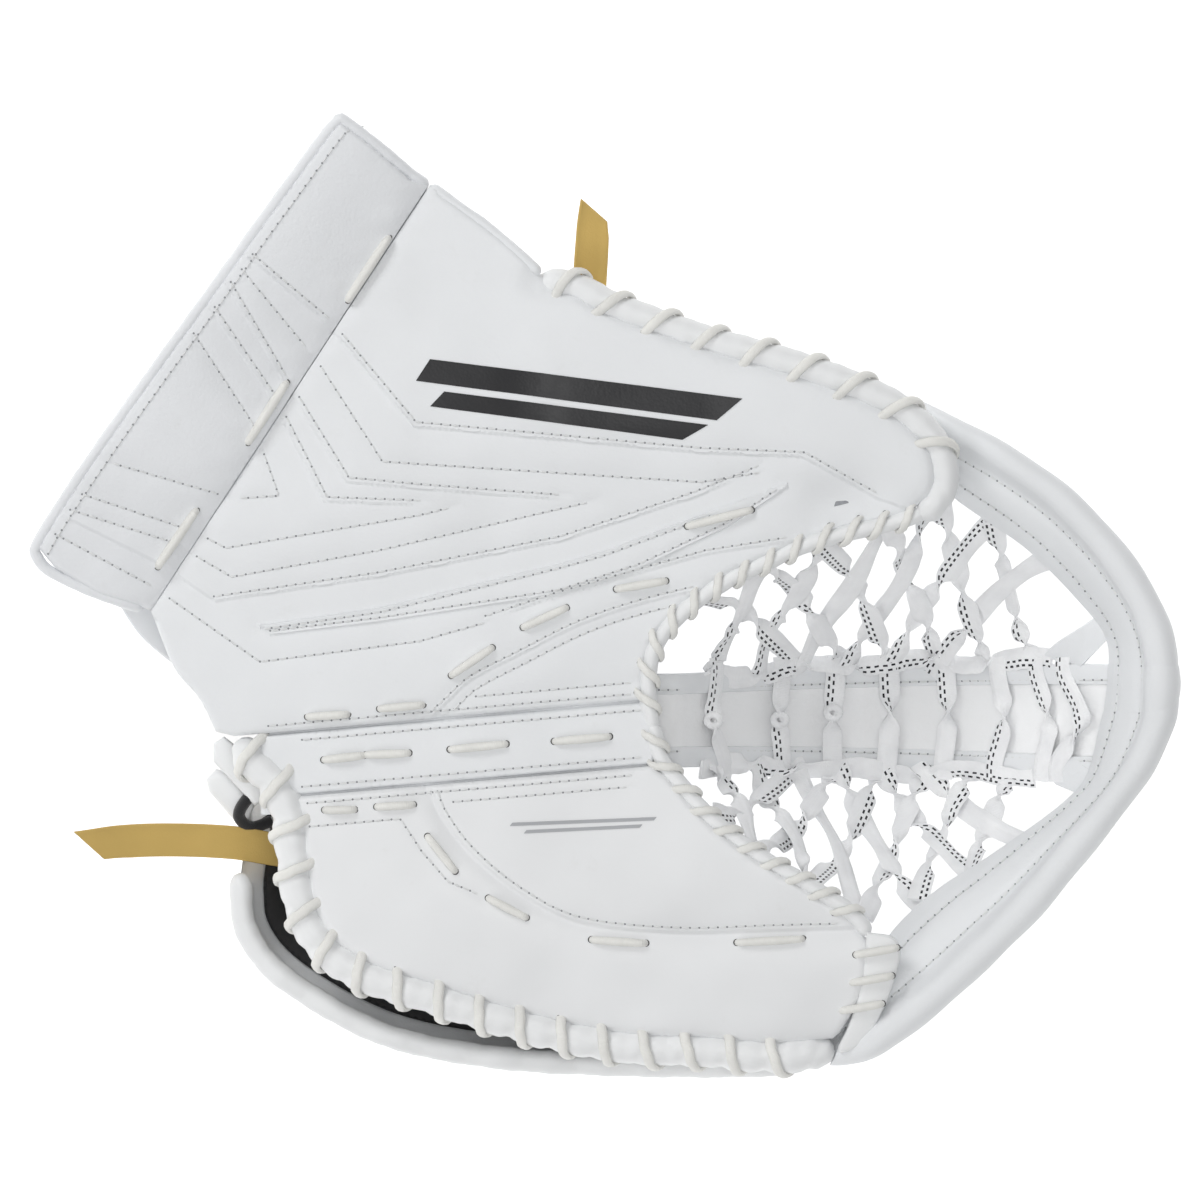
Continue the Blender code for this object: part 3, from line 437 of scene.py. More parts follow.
def face_outwards(obj, weld=0.0):
    """Join points closer than weld millimetres, then turn the faces outwards."""
    shape = bmesh.new()
    shape.from_mesh(obj.data)
    if weld:
        bmesh.ops.remove_doubles(shape, verts=shape.verts, dist=weld * MM)
    bmesh.ops.recalc_face_normals(shape, faces=shape.faces)
    shape.to_mesh(obj.data)
    shape.free()


def frames(points, up=None):
    """Sideways and upward unit vectors along a path."""
    run = unit(np.gradient(points, axis=0))
    if up is None:
        side = np.empty_like(run)
        start = np.cross(run[0], (0, 0, 1.0))
        if np.linalg.norm(start) < 0.1:
            start = np.cross(run[0], (0, 1.0, 0))
        side[0] = start / np.linalg.norm(start)
        for i in range(1, len(run)):
            turned = side[i - 1] - run[i] * (side[i - 1] @ run[i])
            side[i] = turned / np.linalg.norm(turned)
    else:
        side = unit(np.cross(run, np.broadcast_to(up, run.shape)))
    return side, np.cross(side, run)


def round_rows(points, radii, sides=8, up=None, flat=1.0):
    """Round sections along a path, flattened by flat."""
    side, rise = frames(points, up)
    radii = np.broadcast_to(radii, len(points))
    turn = np.arange(sides) * 2 * np.pi / sides
    return (points[:, None] + side[:, None] * (np.cos(turn)[None, :, None] * radii[:, None, None])
            + rise[:, None] * (np.sin(turn)[None, :, None] * radii[:, None, None] * flat))


# A flat lace: its UV round a section, and its thickness.
LACE_ACROSS = [0, 0.06, 0.34, 0.66, 0.94, 1.0, 1.06, 1.34, 1.66, 1.94, 2.0]
LACE_THICK = 1.1


def tape(shape, points, normals, widths, thick=LACE_THICK, twist=None):
    """A flat lace along points, facing along normals, turned by twist."""
    side, rise = frames(points, normals)
    if twist is not None:
        c, s = np.cos(twist)[:, None], np.sin(twist)[:, None]
        side, rise = side * c + rise * s, rise * c - side * s
    half = np.broadcast_to(widths, len(points))[:, None] / 2
    t = thick / 2
    xs = np.array([-1, -0.9, -0.32, 0.32, 0.9, 1, 0.9, 0.32, -0.32, -0.9])
    zs = np.array([0, 0.8, 1, 1, 0.8, 0, -0.8, -1, -1, -0.8]) * t
    rows = (points[:, None] + side[:, None] * (xs[None, :] * half)[..., None]
            + rise[:, None] * zs[None, :, None])
    shape.grid(rows, across=LACE_ACROSS)


def patch(outline, lines=(), grid=3.0, rings=(0.35, 1.0, 2.0, 3.4)):
    """A triangulated plan: its outline, rings just inside it, rows on each line, and a lattice."""
    closed = close(outline)
    extra = []
    for distance in rings:
        ring = resample(closed, max(1.5, 1.2 * distance))[:-1]
        extra.append(ring + inwards(ring) * distance)
    extra += [shift(line, offset) for line, offsets in lines for offset in offsets]
    points = outline
    if extra:
        extra = np.vstack(extra)
        far, _ = away(extra, closed)
        extra = extra[inside(extra, outline) & (far > 0.3)]
        cells = np.unique(np.round(extra / 0.2), axis=0, return_index=True)[1]
        points = np.vstack([outline, extra[cells]])
    low, high = outline.min(0), outline.max(0)
    step_y = grid * 0.866
    lattice = []
    for j, y in enumerate(np.arange(low[1], high[1], step_y)):
        xs = np.arange(low[0], high[0], grid) + (j % 2) * grid / 2
        lattice.append(np.column_stack([xs, np.full(len(xs), y)]))
    lattice = np.vstack(lattice)
    lattice = lattice[inside(lattice, outline)]
    lattice = lattice[near_points(lattice, points) > 0.62 * grid]
    points = np.vstack([points, lattice])
    count = len(outline)
    edges = [(i, (i + 1) % count) for i in range(count)]
    flat, _, faces = geometry.delaunay_2d_cdt([Vector(p) for p in points], edges, [], 1, 1e-4)[:3]
    flat = np.array([(p.x, p.y) for p in flat])
    return flat, faces, away(flat, closed)[0]


LEATHER = 1.6
WELD = 0.02


def roll_off(far, radius):
    """How far a rounded edge has dropped at a distance from it."""
    near = np.clip(1 - far / radius, 0, 1)
    return radius * (1 - np.sqrt(1 - near**2))


def cap(name, outline, height, depth, paint, roll=3.0, lines=(), grid=3.0, hem=7.0,
        dip=0.0, dip_line=None, open_line=None, lean=0.0):
    """Leather over padding: the top, its rounded edge, the side and a hem turned under.

    The side along open_line leans inwards by lean, so that it clears its neighbour in a flex.
    """
    flat, faces, far = patch(outline, lines, grid)
    if open_line is not None:
        near = away(flat, open_line)[0] / roll
        far = np.where(near < 1.2, np.maximum(far, roll * smooth(1.6 - near)), far)
    z = height(flat[:, 0], flat[:, 1]) - roll_off(far, roll)
    if dip_line is not None:
        z -= dip * np.exp(-(away(flat, dip_line)[0] / 5.0)**2)
    shape = Shape()
    points = np.column_stack([flat, z])
    uvs = [[tuple(flat[i] * 0.01) for i in face] for face in faces]
    shape.add(points, faces, uvs)
    count = len(outline)
    edge = points[:count]
    inward = inwards(outline)
    leaning = np.zeros(count) if open_line is None else lean * (away(edge[:, :2], open_line)[0] < 1.0)
    rows = []
    for out, drop in [(0.0, 0.0), (0.0, 0.35), (0.0, 0.7), (-0.12, 0.93), (-0.45, 1.0), (-1.0, 1.0)]:
        moved = edge[:, :2] - inward * out * hem
        moved = moved + inward * (leaning * drop * (depth - roll))[:, None]
        rows.append(np.column_stack([moved, edge[:, 2] - drop * (depth - roll)]))
    shape.grid(rows, caps=False)
    made = shape.make(name, [paint], 70)
    face_outwards(made, WELD)
    if sum(face.normal.z * face.area for face in made.data.polygons) < 0:
        made.data.flip_normals()
    thicken(made)
    return made


def thicken(made):
    """Give an open skin the thickness of leather, inwards."""
    solid = made.modifiers.new("leather", "SOLIDIFY")
    solid.thickness = LEATHER * MM
    solid.offset = -1


def slab(name, outline, height, thick, paint, roll=0.8, grid=4.0, lines=(), rings=None):
    """A closed sheet with rounded edges; height is its top."""
    flat, faces, far = patch(outline, lines, grid, rings or (0.15 * roll, 0.5 * roll, roll))
    top = height(flat[:, 0], flat[:, 1])
    edge = np.clip(1 - far / roll, 0, 1)
    pinch = 1 - np.sqrt(np.maximum(0, 1 - edge**2))
    middle = top - thick / 2
    high = np.column_stack([flat, middle + thick / 2 * (1 - pinch)])
    low = np.column_stack([flat, middle - thick / 2 * (1 - pinch)])
    count = len(flat)
    shape = Shape()
    both = list(faces) + [tuple(i + count for i in face[::-1]) for face in faces]
    every = np.vstack([flat, flat]) * 0.01
    uvs = [[tuple(every[i]) for i in face] for face in both]
    shape.add(np.vstack([high, low]), both, uvs)
    made = shape.make(name, [paint], 70)
    face_outwards(made, WELD)
    return made


# ------------------------------------------------------------------ stitches and laces
def on_surface(path, surface, lift=0.0):
    """A plan path laid on a surface, or this far above it."""
    path = np.asarray(path, float)[:, :2]
    return np.column_stack([path, surface(path[:, 0], path[:, 1]) + lift])


def stitches(shape, line, pitch=3.3, thick=0.34):
    """Sewing thread along a 3D line: a short stitch, a dark disc of painted shade for the needle hole,
    and the next stitch.
    """
    line = resample(np.asarray(line, float), 0.55)
    length = np.linalg.norm(np.diff(line, axis=0), axis=1).sum()
    count = int(length / pitch)
    per = max(1, len(line) // max(1, count))
    for k in range(count):
        part = line[k * per:(k + 1) * per + 1]
        if len(part) < 5:
            continue
        middle = part[1:-1][::2] if len(part) > 6 else part[1:-1]
        if len(middle) < 3:
            continue
        rise = np.sin(np.linspace(0, np.pi, len(middle)))[:, None] * np.array([0, 0, 0.3])
        radii = thick * np.array([0.7] + [1.0] * (len(middle) - 2) + [0.7])
        shape.grid(round_rows(middle + rise, radii, 5, (0, 0, 1.0)))
        hole_shade_disc(shape, part[0], 0.4, 6, 0.04, 0.16)


def hole_shade_disc(shape, at, radius, sides=12, low=0.02, high=0.22):
    """A dark disc of painted shade where a lace or a needle goes down a hole, in the shape's second
    material.
    """
    turn = np.arange(sides) * 2 * np.pi / sides
    ring = np.column_stack([np.cos(turn) * radius, np.sin(turn) * radius, np.zeros(sides)]) + at
    shape.add(np.vstack([ring + (0, 0, low), at + (0, 0, high)]),
              [(i, (i + 1) % sides, sides) for i in range(sides)], paint=1)


def running_lace(shape, start, end, surface, radius, deep):
    """One stitch of lace that shows between two punched holes."""
    start, end = np.array(start, float), np.array(end, float)
    along = end - start
    length = np.linalg.norm(along)
    ends = min(0.28, 2.0 / length)
    marks = [(0, -deep), (0, -0.4), (0.35 * ends, 0.75), (ends, 1.25), (0.5, 1.45),
             (1 - ends, 1.25), (1 - 0.35 * ends, 0.75), (1, -0.4), (1, -deep)]
    points = []
    for t, lift in marks:
        p = start + along * t
        points.append((*p, float(surface(p[0], p[1])) + lift))
    line = curve(points, 0.8)
    t = np.linspace(0, 1, len(line))
    radii = radius * (0.72 + 0.42 * np.sin(np.pi * t)**0.8)
    shape.grid(round_rows(line, radii, 10))
    for p, sign in ((start, -1), (end, 1)):
        spot = p + along / length * sign * 0.25
        hole_shade_disc(shape, np.array([*spot, float(surface(*spot)) + 0.1]), 1.3)


def laces(name, pairs, surface, radius, deep=4.0):
    """Some stitches of lace as one piece."""
    shape = Shape()
    for start, end in pairs:
        running_lace(shape, start, end, surface, radius, deep)
    return shape.make(name, LACING)


def wraps(shape, path, surface_side, radius, lace_r, spacing, reach, lean, start):
    """A lace wound round a welt: over the top from a hole beside it, and back underneath.

    path is the welt's middle, surface_side is -1 or 1 for the side with the holes, reach is how
    far the holes are from the middle, and lean is how far the lace travels on its way over.
    The return value is, for each turn, the points on its way down to its hole.
    """
    path = resample(np.asarray(path, float), 0.5)
    lengths = lengths_along(path)
    total = lengths[-1]
    side, rise = frames(path, (0, 0, 1.0))
    count = int((total - 2 * start) / spacing)
    reach_r = radius + lace_r * 0.45
    turns, ways_down = [], []
    angles = np.linspace(0, 2 * np.pi, 21)[:-1]

    def place(base, a):
        over = a < np.pi
        t = a / np.pi if over else (a - np.pi) / np.pi
        s = base + (lean * t if over else lean + (spacing - lean) * t)
        i = min(len(path) - 1, int(np.searchsorted(lengths, min(s, total))))
        out = math.cos(a) * reach_r + max(0.0, math.cos(a))**3 * (reach - reach_r)
        radial = side[i] * math.cos(a) * surface_side + rise[i] * math.sin(a)
        at = path[i] + side[i] * out * surface_side + rise[i] * math.sin(a) * reach_r
        return np.r_[at, radial * 0.01]

    for k in range(count):
        base = start + k * spacing
        turns += [place(base, a) for a in angles]
        ways_down.append([place(base, a)[:3] for a in np.linspace(np.pi / 2, 0, 20)])
    line = curve(turns, 1.0)
    shape.grid(round_rows(line[:, :3], lace_r, 10, line[:, 3:] * 100, 0.6))
    return ways_down


def welt(shape, path, radius, spacing=0.0, start=0.0, lean=0.0, sides=18):
    """A rolled leather edge, drawn in a little under each turn of its lace."""
    path = resample(np.asarray(path, float), 1.2)
    lengths = lengths_along(path)
    side, rise = frames(path, (0, 0, 1.0))
    ends = np.minimum(1, np.sqrt(np.clip(np.minimum(lengths, lengths[-1] - lengths) / radius, 0, 1))
                      * 0.75 + 0.25)
    turn = np.arange(sides) * 2 * np.pi / sides
    rows = []
    for i, s in enumerate(lengths):
        swell = 1 + 0.03 * math.sin(0.35 * s) + 0.02 * math.sin(0.91 * s + 1)
        radii = np.full(sides, radius * swell * ends[i])
        if spacing:
            where = s - start - lean * (0.5 - 0.5 * np.cos(turn))
            phase = (where / spacing) % 1.0
            phase = np.minimum(phase, 1 - phase) * spacing
            radii *= 1 - 0.12 * np.exp(-(phase / 1.9)**2)
        radii *= 1 - 0.05 * np.exp(-((turn - 2.5) / 0.16)**2)
        rows.append(path[i] + side[i] * (np.cos(turn) * radii)[:, None]
                    + rise[i] * (np.sin(turn) * radii)[:, None])
    shape.grid(np.array(rows))


def rolled_edge(name, path, radius, paint, sides=14):
    """A welt that no lace goes round, as a piece."""
    shape = Shape()
    welt(shape, path, radius, sides=sides)
    return shape.make(name, [paint])


# ------------------------------------------------------------------ materials
def nodes_of(name):
    """A new material, its node tree and its shader."""
    made = bpy.data.materials.new(name)
    made.use_nodes = True
    return made, made.node_tree, made.node_tree.nodes["Principled BSDF"]


def node(tree, kind, inputs, **settings):
    """A shader node; each of its inputs is given a value or another node's output."""
    made = tree.nodes.new("ShaderNode" + kind)
    for key, value in settings.items():
        setattr(made, key, value)
    feed(tree, made, inputs)
    return made


def feed(tree, made, inputs):
    for key, value in inputs.items():
        if isinstance(value, bpy.types.NodeSocket):
            tree.links.new(value, made.inputs[key])
        else:
            made.inputs[key].default_value = value


def object_place(tree):
    return tree.nodes.new("ShaderNodeTexCoord").outputs["Object"]


def noise(tree, source, scale, detail=3.0, rough=0.55):
    return node(tree, "TexNoise", {"Scale": scale, "Detail": detail, "Roughness": rough,
                                   "Vector": source}).outputs["Fac"]


def ramp(tree, source, first, first_colour, last, last_colour):
    """Colours that run from the first to the last between these two values of the source."""
    made = node(tree, "ValToRGB", {"Fac": source})
    for element, position, colour in zip(made.color_ramp.elements, (first, last),
                                         (first_colour, last_colour)):
        element.position, element.color = position, colour
    return made.outputs["Color"]


def toned(tree, source, colour, darker, lighter):
    """The colour, from darker to lighter by these factors as the source rises."""
    shades = [tuple(min(1.0, c * factor) for c in colour) + (1.0,) for factor in (darker, lighter)]
    return ramp(tree, source, 0.3, shades[0], 0.7, shades[1])


def to_range(tree, source, low, high):
    return node(tree, "MapRange", {"To Min": low, "To Max": high, "Value": source}).outputs["Result"]


def bump(tree, source, strength, distance, below=None):
    inputs = {"Strength": strength, "Distance": distance, "Height": source}
    if below is not None:
        inputs["Normal"] = below
    return node(tree, "Bump", inputs).outputs["Normal"]


def math_node(tree, operation, *values):
    return node(tree, "Math", dict(enumerate(values)), operation=operation).outputs["Value"]


def leather(name, colour, rough=0.45, grain=1.0, scale=1.0, marks=0.05, specular=0.45):
    """Grained leather: fine pebbles, pores, soft creases, and a little uneven tone and gloss."""
    made, tree, shader = nodes_of(name)
    place = object_place(tree)
    cells = node(tree, "TexVoronoi", {"Scale": 950 * scale, "Smoothness": 0.6, "Vector": place},
                 feature="SMOOTH_F1").outputs["Distance"]
    fine = noise(tree, place, 1500 * scale, 2.0)
    crease = noise(tree, place, 120 * scale, 4.0, 0.6)
    tone = noise(tree, place, 16, 3.0)
    wear = noise(tree, place, 70, 5.0, 0.7)
    base = toned(tree, tone, colour, 1 - marks, 1 + 0.3 * marks)
    dirt = ramp(tree, wear, 0.62, (1, 1, 1, 1), 0.9, (0.9, 0.89, 0.87, 1))
    mix = node(tree, "Mix", {"Factor": 0.6, "A": base, "B": dirt}, data_type="RGBA",
               blend_type="MULTIPLY")
    grained = bump(tree, crease, 0.28 * grain, 0.0006)
    grained = bump(tree, fine, 0.12 * grain, 0.0002, grained)
    grained = bump(tree, cells, 0.22 * grain, 0.00025, grained)
    feed(tree, shader, {"Base Color": mix.outputs["Result"], "Normal": grained,
                        "Roughness": to_range(tree, wear, rough - 0.07, rough + 0.1),
                        "Specular IOR Level": specular})
    return made


def fabric(name, colour):
    """Woven cloth: two crossed sets of threads and a little fuzz."""
    made, tree, shader = nodes_of(name)
    place = object_place(tree)
    threads = [node(tree, "TexWave", {"Scale": 900, "Distortion": 1.5, "Vector": place},
                    bands_direction=direction).outputs["Fac"] for direction in ("X", "Y")]
    weave = math_node(tree, "MULTIPLY", *threads)
    feed(tree, shader, {"Base Color": toned(tree, noise(tree, place, 60, 4.0), colour, 0.75, 1.25),
                        "Normal": bump(tree, weave, 0.5, 0.0004), "Roughness": 0.9,
                        "Sheen Weight": 0.3})
    return made


def lace_cloth(name, colour, tracer=None, waxed=False):
    """Woven lace. Its UV gives millimetres along and the place across; tracer adds the dashes."""
    made, tree, shader = nodes_of(name)
    coordinates = tree.nodes.new("ShaderNodeTexCoord")
    split = node(tree, "SeparateXYZ", {"Vector": coordinates.outputs["UV"]})
    along, across = split.outputs["X"], split.outputs["Y"]
    slants = [math_node(tree, "MULTIPLY_ADD", across, way, math_node(tree, "MULTIPLY", along, 5.2))
              for way in (9.0, -9.0)]
    weave = math_node(tree, "MULTIPLY", *[math_node(tree, "SINE", slant) for slant in slants])
    place = coordinates.outputs["Object"]
    base = toned(tree, noise(tree, place, 90, 4.0), colour, 0.93, 1.04)
    if tracer:
        masks = []
        for row, phase in ((0.60, 0.0), (0.82, 0.5)):
            on_row = math_node(tree, "COMPARE", across, row, 0.05)
            beat = math_node(tree, "FRACT", math_node(tree, "MULTIPLY_ADD", along, 1 / 3.0, phase))
            masks.append(math_node(tree, "MULTIPLY", on_row, math_node(tree, "LESS_THAN", beat, 0.52)))
        dashes = math_node(tree, "MAXIMUM", *masks)
        mix = node(tree, "Mix", {"Factor": dashes, "A": base, "B": tracer}, data_type="RGBA")
        base = mix.outputs["Result"]
    woven = bump(tree, noise(tree, place, 1400, 2.0), 0.2, 0.0002, bump(tree, weave, 0.35, 0.00022))
    feed(tree, shader, {"Base Color": base, "Normal": woven, "Roughness": 0.55 if waxed else 0.78,
                        "Sheen Weight": 0.05 if waxed else 0.2})
    return made


def plain_worn(name, colour, rough, metallic=0.0, scale=300, depth=0.0002):
    """A plain surface with a slightly uneven tone and gloss."""
    made, tree, shader = nodes_of(name)
    tone = noise(tree, object_place(tree), scale, 4.0)
    feed(tree, shader, {"Base Color": toned(tree, tone, colour, 0.85, 1.1),
                        "Roughness": to_range(tree, tone, rough - 0.08, rough + 0.08),
                        "Normal": bump(tree, tone, 0.3, depth), "Metallic": metallic})
    return made


WHITE = leather("white_leather", (0.84, 0.855, 0.87))
SHIELD_WHITE = leather("shield_leather", (0.85, 0.86, 0.87), 0.4, 0.6)
# The grey-white leather is a slightly greyer and bluer copy of the white leather, with a coarser grain:
# painted shade, for the cuff and other pieces that lie in shade.
SHADED_WHITE = leather("grey_white_leather", (0.83, 0.845, 0.865), 0.42, 1.5)
# The band leather is a brighter copy of the white leather, with a coarser grain: painted light, to offset
# the shade deep in the pocket.
BAND_LIT_WHITE = leather("band_lit_leather", (0.96, 0.965, 0.97), 0.55, 2.2, 0.8)
WELT_WHITE = leather("welt_leather", (0.87, 0.88, 0.885), 0.42, 0.8)
CREAM = lace_cloth("cream_lace", (0.86, 0.855, 0.82), waxed=True)
WEB = lace_cloth("web_lace", (0.95, 0.955, 0.97), tracer=(0.012, 0.012, 0.016, 1))
THREAD = lace_cloth("sewing_thread", (0.80, 0.81, 0.81))
# Needle and lace holes are dark discs: painted shade, standing for the shadow down inside each hole.
NEEDLE_HOLE_SHADE = plain_worn("needle_hole_shade", (0.30, 0.31, 0.32), 0.9)
LACE_HOLE_SHADE = plain_worn("lace_hole", (0.09, 0.09, 0.09), 0.9)
LINER = fabric("black_liner", (0.016, 0.016, 0.018))
FOAM = plain_worn("foam", (0.33, 0.34, 0.36), 0.95, scale=900, depth=0.0006)
BOARD = plain_worn("plastic_board", (0.3, 0.31, 0.33), 0.4)
TAN = leather("tan_suede", (0.65, 0.45, 0.146), 0.85, 0.9, 1.6, 0.18, 0.2)
STEEL = plain_worn("nickel_wire", (0.62, 0.62, 0.64), 0.25, 1.0)
INK = leather("black_print", (0.014, 0.014, 0.016), 0.4, 0.8)
GREY_INK = leather("grey_print", (0.42, 0.43, 0.45), 0.45, 0.6)
# Thread and lace are made with the painted shade of their holes; the thread lies this far above the skin.
SEWING, LACING = [THREAD, NEEDLE_HOLE_SHADE], [CREAM, LACE_HOLE_SHADE]
THREAD_LIFT = 0.12


# ------------------------------------------------------------------ placing pieces
class Skin:
    """The upper side of a finished piece, as a height to lay stitches and laces on."""

    def __init__(self, piece):
        points = [v.co / MM for v in piece.data.vertices]
        faces = [tuple(face.vertices) for face in piece.data.polygons]
        self.tree = bvhtree.BVHTree.FromPolygons(points, faces)

    def __call__(self, x, y):
        xs, ys = np.broadcast_arrays(np.asarray(x, float), np.asarray(y, float))
        made = np.empty(xs.size)
        for i, (a, b) in enumerate(zip(xs.ravel(), ys.ravel())):
            hit = self.tree.ray_cast(Vector((a, b, 300)), Vector((0, 0, -1)))[0]
            if hit is None:
                hit = self.tree.find_nearest(Vector((a, b, made[i - 1] if i else 60)))[0]
            made[i] = hit.z
        return made.reshape(xs.shape)


def dress(replaced):
    """The CAD nodes that the piece stands for are hidden."""
    if replaced:
        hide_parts(*replaced)


def put(piece, body, finish, *replaced, fill=None):
    """The piece rides on a body."""
    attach(piece, body)
    dress(replaced)


def bend(piece, first, second, start, end, finish, *replaced, fill=None):
    """The piece's modifiers and placement are baked into its mesh, and the CAD nodes it stands for are
    hidden.
    """
    if piece.modifiers:
        apply_modifiers(piece)
    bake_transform(piece)
    dress(replaced)


def apply_modifiers(piece):
    """Replace the piece's mesh by what its modifiers make of it."""
    bpy.context.view_layer.update()
    graph = bpy.context.evaluated_depsgraph_get()
    mesh = bpy.data.meshes.new_from_object(piece.evaluated_get(graph))
    piece.modifiers.clear()
    piece.data = mesh


def lined(lines, offsets):
    return [(line, offsets) for line in lines]


GROOVE = (-0.9, 0.0, 0.9)
STEP_ROWS = (-1.1, -0.5, -0.03, 0.55)

# ------------------------------------------------------------------ thumb side and cuff
crease = np.array([CREASE_LOW, CREASE_TOP])
crease_up = resample(crease, 2.5)
seam_xs = np.arange(17, -133, -2.5)
THUMB_WELT_PATH = curve(THUMB_WELT, 2.5)
THUMB_POCKET_PATH = curve(THUMB_POCKET, 2.5)
thumb_outline = ring_of(
    crease_up, curve(THUMB_TOP, 2.5)[1:], shift(THUMB_WELT_PATH, 3.2)[3:],
    shift(THUMB_POCKET_PATH, 1.6)[1:-1],
    np.column_stack([seam_xs, upper_seam(seam_xs) + 0.4]), curve(THUMB_HEEL, 2.5))
step_lines = [corners(points, 2.2) for points, _, _ in STEPS] + [corners(ARROW, 2.0),
                                                                 curve(ARC_SEAM, 2.2)]
thumb_rows = lined(step_lines, STEP_ROWS) + lined(THUMB_LINES, GROOVE)
palm = cap("thumb_palm_panel.look", thumb_outline, thumb_surface, 16.5, WHITE, 2.6, thumb_rows,
           3.2, dip=2.6, dip_line=THUMB_WELT_PATH, open_line=crease_up)
put(palm, "thumb_side", "white_leather", "thumb_palm_panel", "thumb_chevron_overlay",
    "thumb_arrow_overlay", fill=0.6)

CREASE_GAP = 0.3
cuff_outline = ring_of(
    crease_up[::-1] + CREASE_SIDE * CREASE_GAP, [(-164, -2), (-178, 2), (-193, 11)],
    shift(curve(CUFF_EDGE[::-1], 2.5), 1.2),
    shift(curve([(-91, 169), (-80, 161), (-66, 149)], 2.5), 1.2))
# The cuff's leather is the greyer copy of the white leather: painted shade.
cuff = cap("cuff_panel.look", cuff_outline, cuff_surface, 15.5, SHADED_WHITE, 2.0, thumb_rows, 3.2,
           open_line=crease_up, lean=0.26)
palm_skin, cuff_skin = Skin(palm), Skin(cuff)
# The joint lies just beyond the crease, where the cuff hinges on the palm.
middle = np.array([*(CREASE_LOW + CREASE_TOP) / 2, 63.0])
across = np.array([*CREASE_SIDE, 0])
CUFF_BEND = ("thumb_side", "cuff", middle + across * 0.5, middle + across * 9)
bend(cuff, *CUFF_BEND, "shade_leather", "cuff_panel", fill=0.5)
# A strip of leather under the crease, so that the floor doesn't show between the two edges.
under_crease = crease_up[2:-2]
crease_ring = ring_of(under_crease + CREASE_SIDE * 5.0, (under_crease - CREASE_SIDE * 5.0)[::-1])
crease_gusset = slab("crease_gusset", crease_ring,
                     lambda x, y: np.where(beyond_crease(x, y) > 0, cuff_z(x, y), thumb_z(x, y)) - 3.2,
                     0.9, SHADED_WHITE, 0.4, 1.6)
bend(crease_gusset, *CUFF_BEND, "shade_leather")


def sew(shape, lines, outline, surface, margin):
    """Sewing along the parts of these lines that are well inside an outline."""
    for line in lines:
        fine = resample(line, 0.8)
        good = inside(fine, outline) & (away(fine, close(outline))[0] > margin)
        for part in runs(fine, good):
            stitches(shape, on_surface(part, surface, THREAD_LIFT))


def runs(line, good):
    """The stretches of a line where good holds."""
    made, part = [], []
    for point, ok in zip(line, good):
        if ok:
            part.append(point)
        elif part:
            made.append(np.array(part))
            part = []
    if part:
        made.append(np.array(part))
    return [p for p in made if len(p) > 6]


on_palm, on_cuff = Shape(), Shape()
sew(on_palm, THUMB_LINES, thumb_outline, palm_skin, 2.4)
sew(on_cuff, THUMB_LINES, cuff_outline, cuff_skin, 2.4)
stitches(on_cuff, on_surface(shift(curve(CUFF_EDGE[::-1], 0.8), 5.2), cuff_skin, THREAD_LIFT))
put(on_palm.make("thumb_palm_stitching", SEWING), "thumb_side", "lace")
bend(on_cuff.make("cuff_stitching", SEWING), *CUFF_BEND, "lace")

binding_path = np.vstack([curve(CUFF_FOOT[::-1] + CUFF_EDGE[::-1], 2.0),
                          curve([(-91, 169), (-80, 161), (-66, 149.6), (-60.6, 146.2)], 2.0)[1:]])
put(rolled_edge("cuff_binding.look", on_surface(binding_path, cuff_surface, -2.7), 2.0, SHADED_WHITE),
    "cuff", "white_leather", "cuff_binding")
top_path = curve([(-60, 146), (-49, 138), (-38, 130), (-21, 115)], 2.0)
put(rolled_edge("thumb_top_binding", on_surface(top_path, thumb_surface, -2.7), 2.0, WHITE),
    "thumb_side", "white_leather")
cuff_lining_ring = ring_of(shift(close(cuff_outline), 5)[:-1])
cuff_lining = slab("cuff_liner.look", cuff_lining_ring, lambda x, y: cuff_z(x, y) - 12.9, 1.2, LINER,
                   0.6, 5.0)
put(cuff_lining, "cuff", "liner", "cuff_liner")

def both_surface(x, y):
    """The palm's skin or the cuff's, on either side of the crease."""
    x, y = np.asarray(x, float), np.asarray(y, float)
    return np.where(beyond_crease(x, y) > 0, cuff_skin(x, y), palm_skin(x, y))


# The lace that hinges the cuff: three long stitches along the crease.
crease_laces = [((-74.6, 127.4), (-88.8, 106)), ((-111, 76.7), (-124.6, 56)),
                ((-143.4, 31.6), (-157, 12))]
bend(laces("cuff_lace.look", crease_laces, both_surface, 1.5), *CUFF_BEND, "lace", "cuff_lace")

def printed(name, quads, skin, grid, paint):
    """Flat printed shapes just above a skin."""
    shape = Shape()
    for quad in quads:
        flat, faces, _ = patch(ring_of(corners(close(np.array(quad)), 2.0)[:-1]), (), grid, ())
        shape.add(on_surface(flat, skin, 0.2), faces)
    return shape.make(name, [paint])


# A plain printed mark on the thumb palm: two slanted stripes.
stripes = []
for left, right, left_y, high in [(-60, 50, 85.0, 7.6), (-55, 38, 73.6, 5.2)]:
    right_y = left_y - 0.13 * (right - left)
    stripes.append([(left, left_y), (right, right_y), (right - 9, right_y - high),
                    (left - 5, left_y - high)])
put(printed("thumb_print", stripes, palm_skin, 1.6, INK), "thumb_side", "liner")

wrist = slab("wrist_strap.look", ring_of(curve([(-176, 2), (-166, -13), (-152, -25), (-141, -35),
             (-128, -22), (-136, 6), (-150, 20), (-176, 2)], 3.0)[:-1]),
             lambda x, y: thumb_z(x, y) - 25.6, 3.0, SHADED_WHITE, 1.2, 4.0)
put(wrist, "thumb_side", "shade_leather", "wrist_strap")

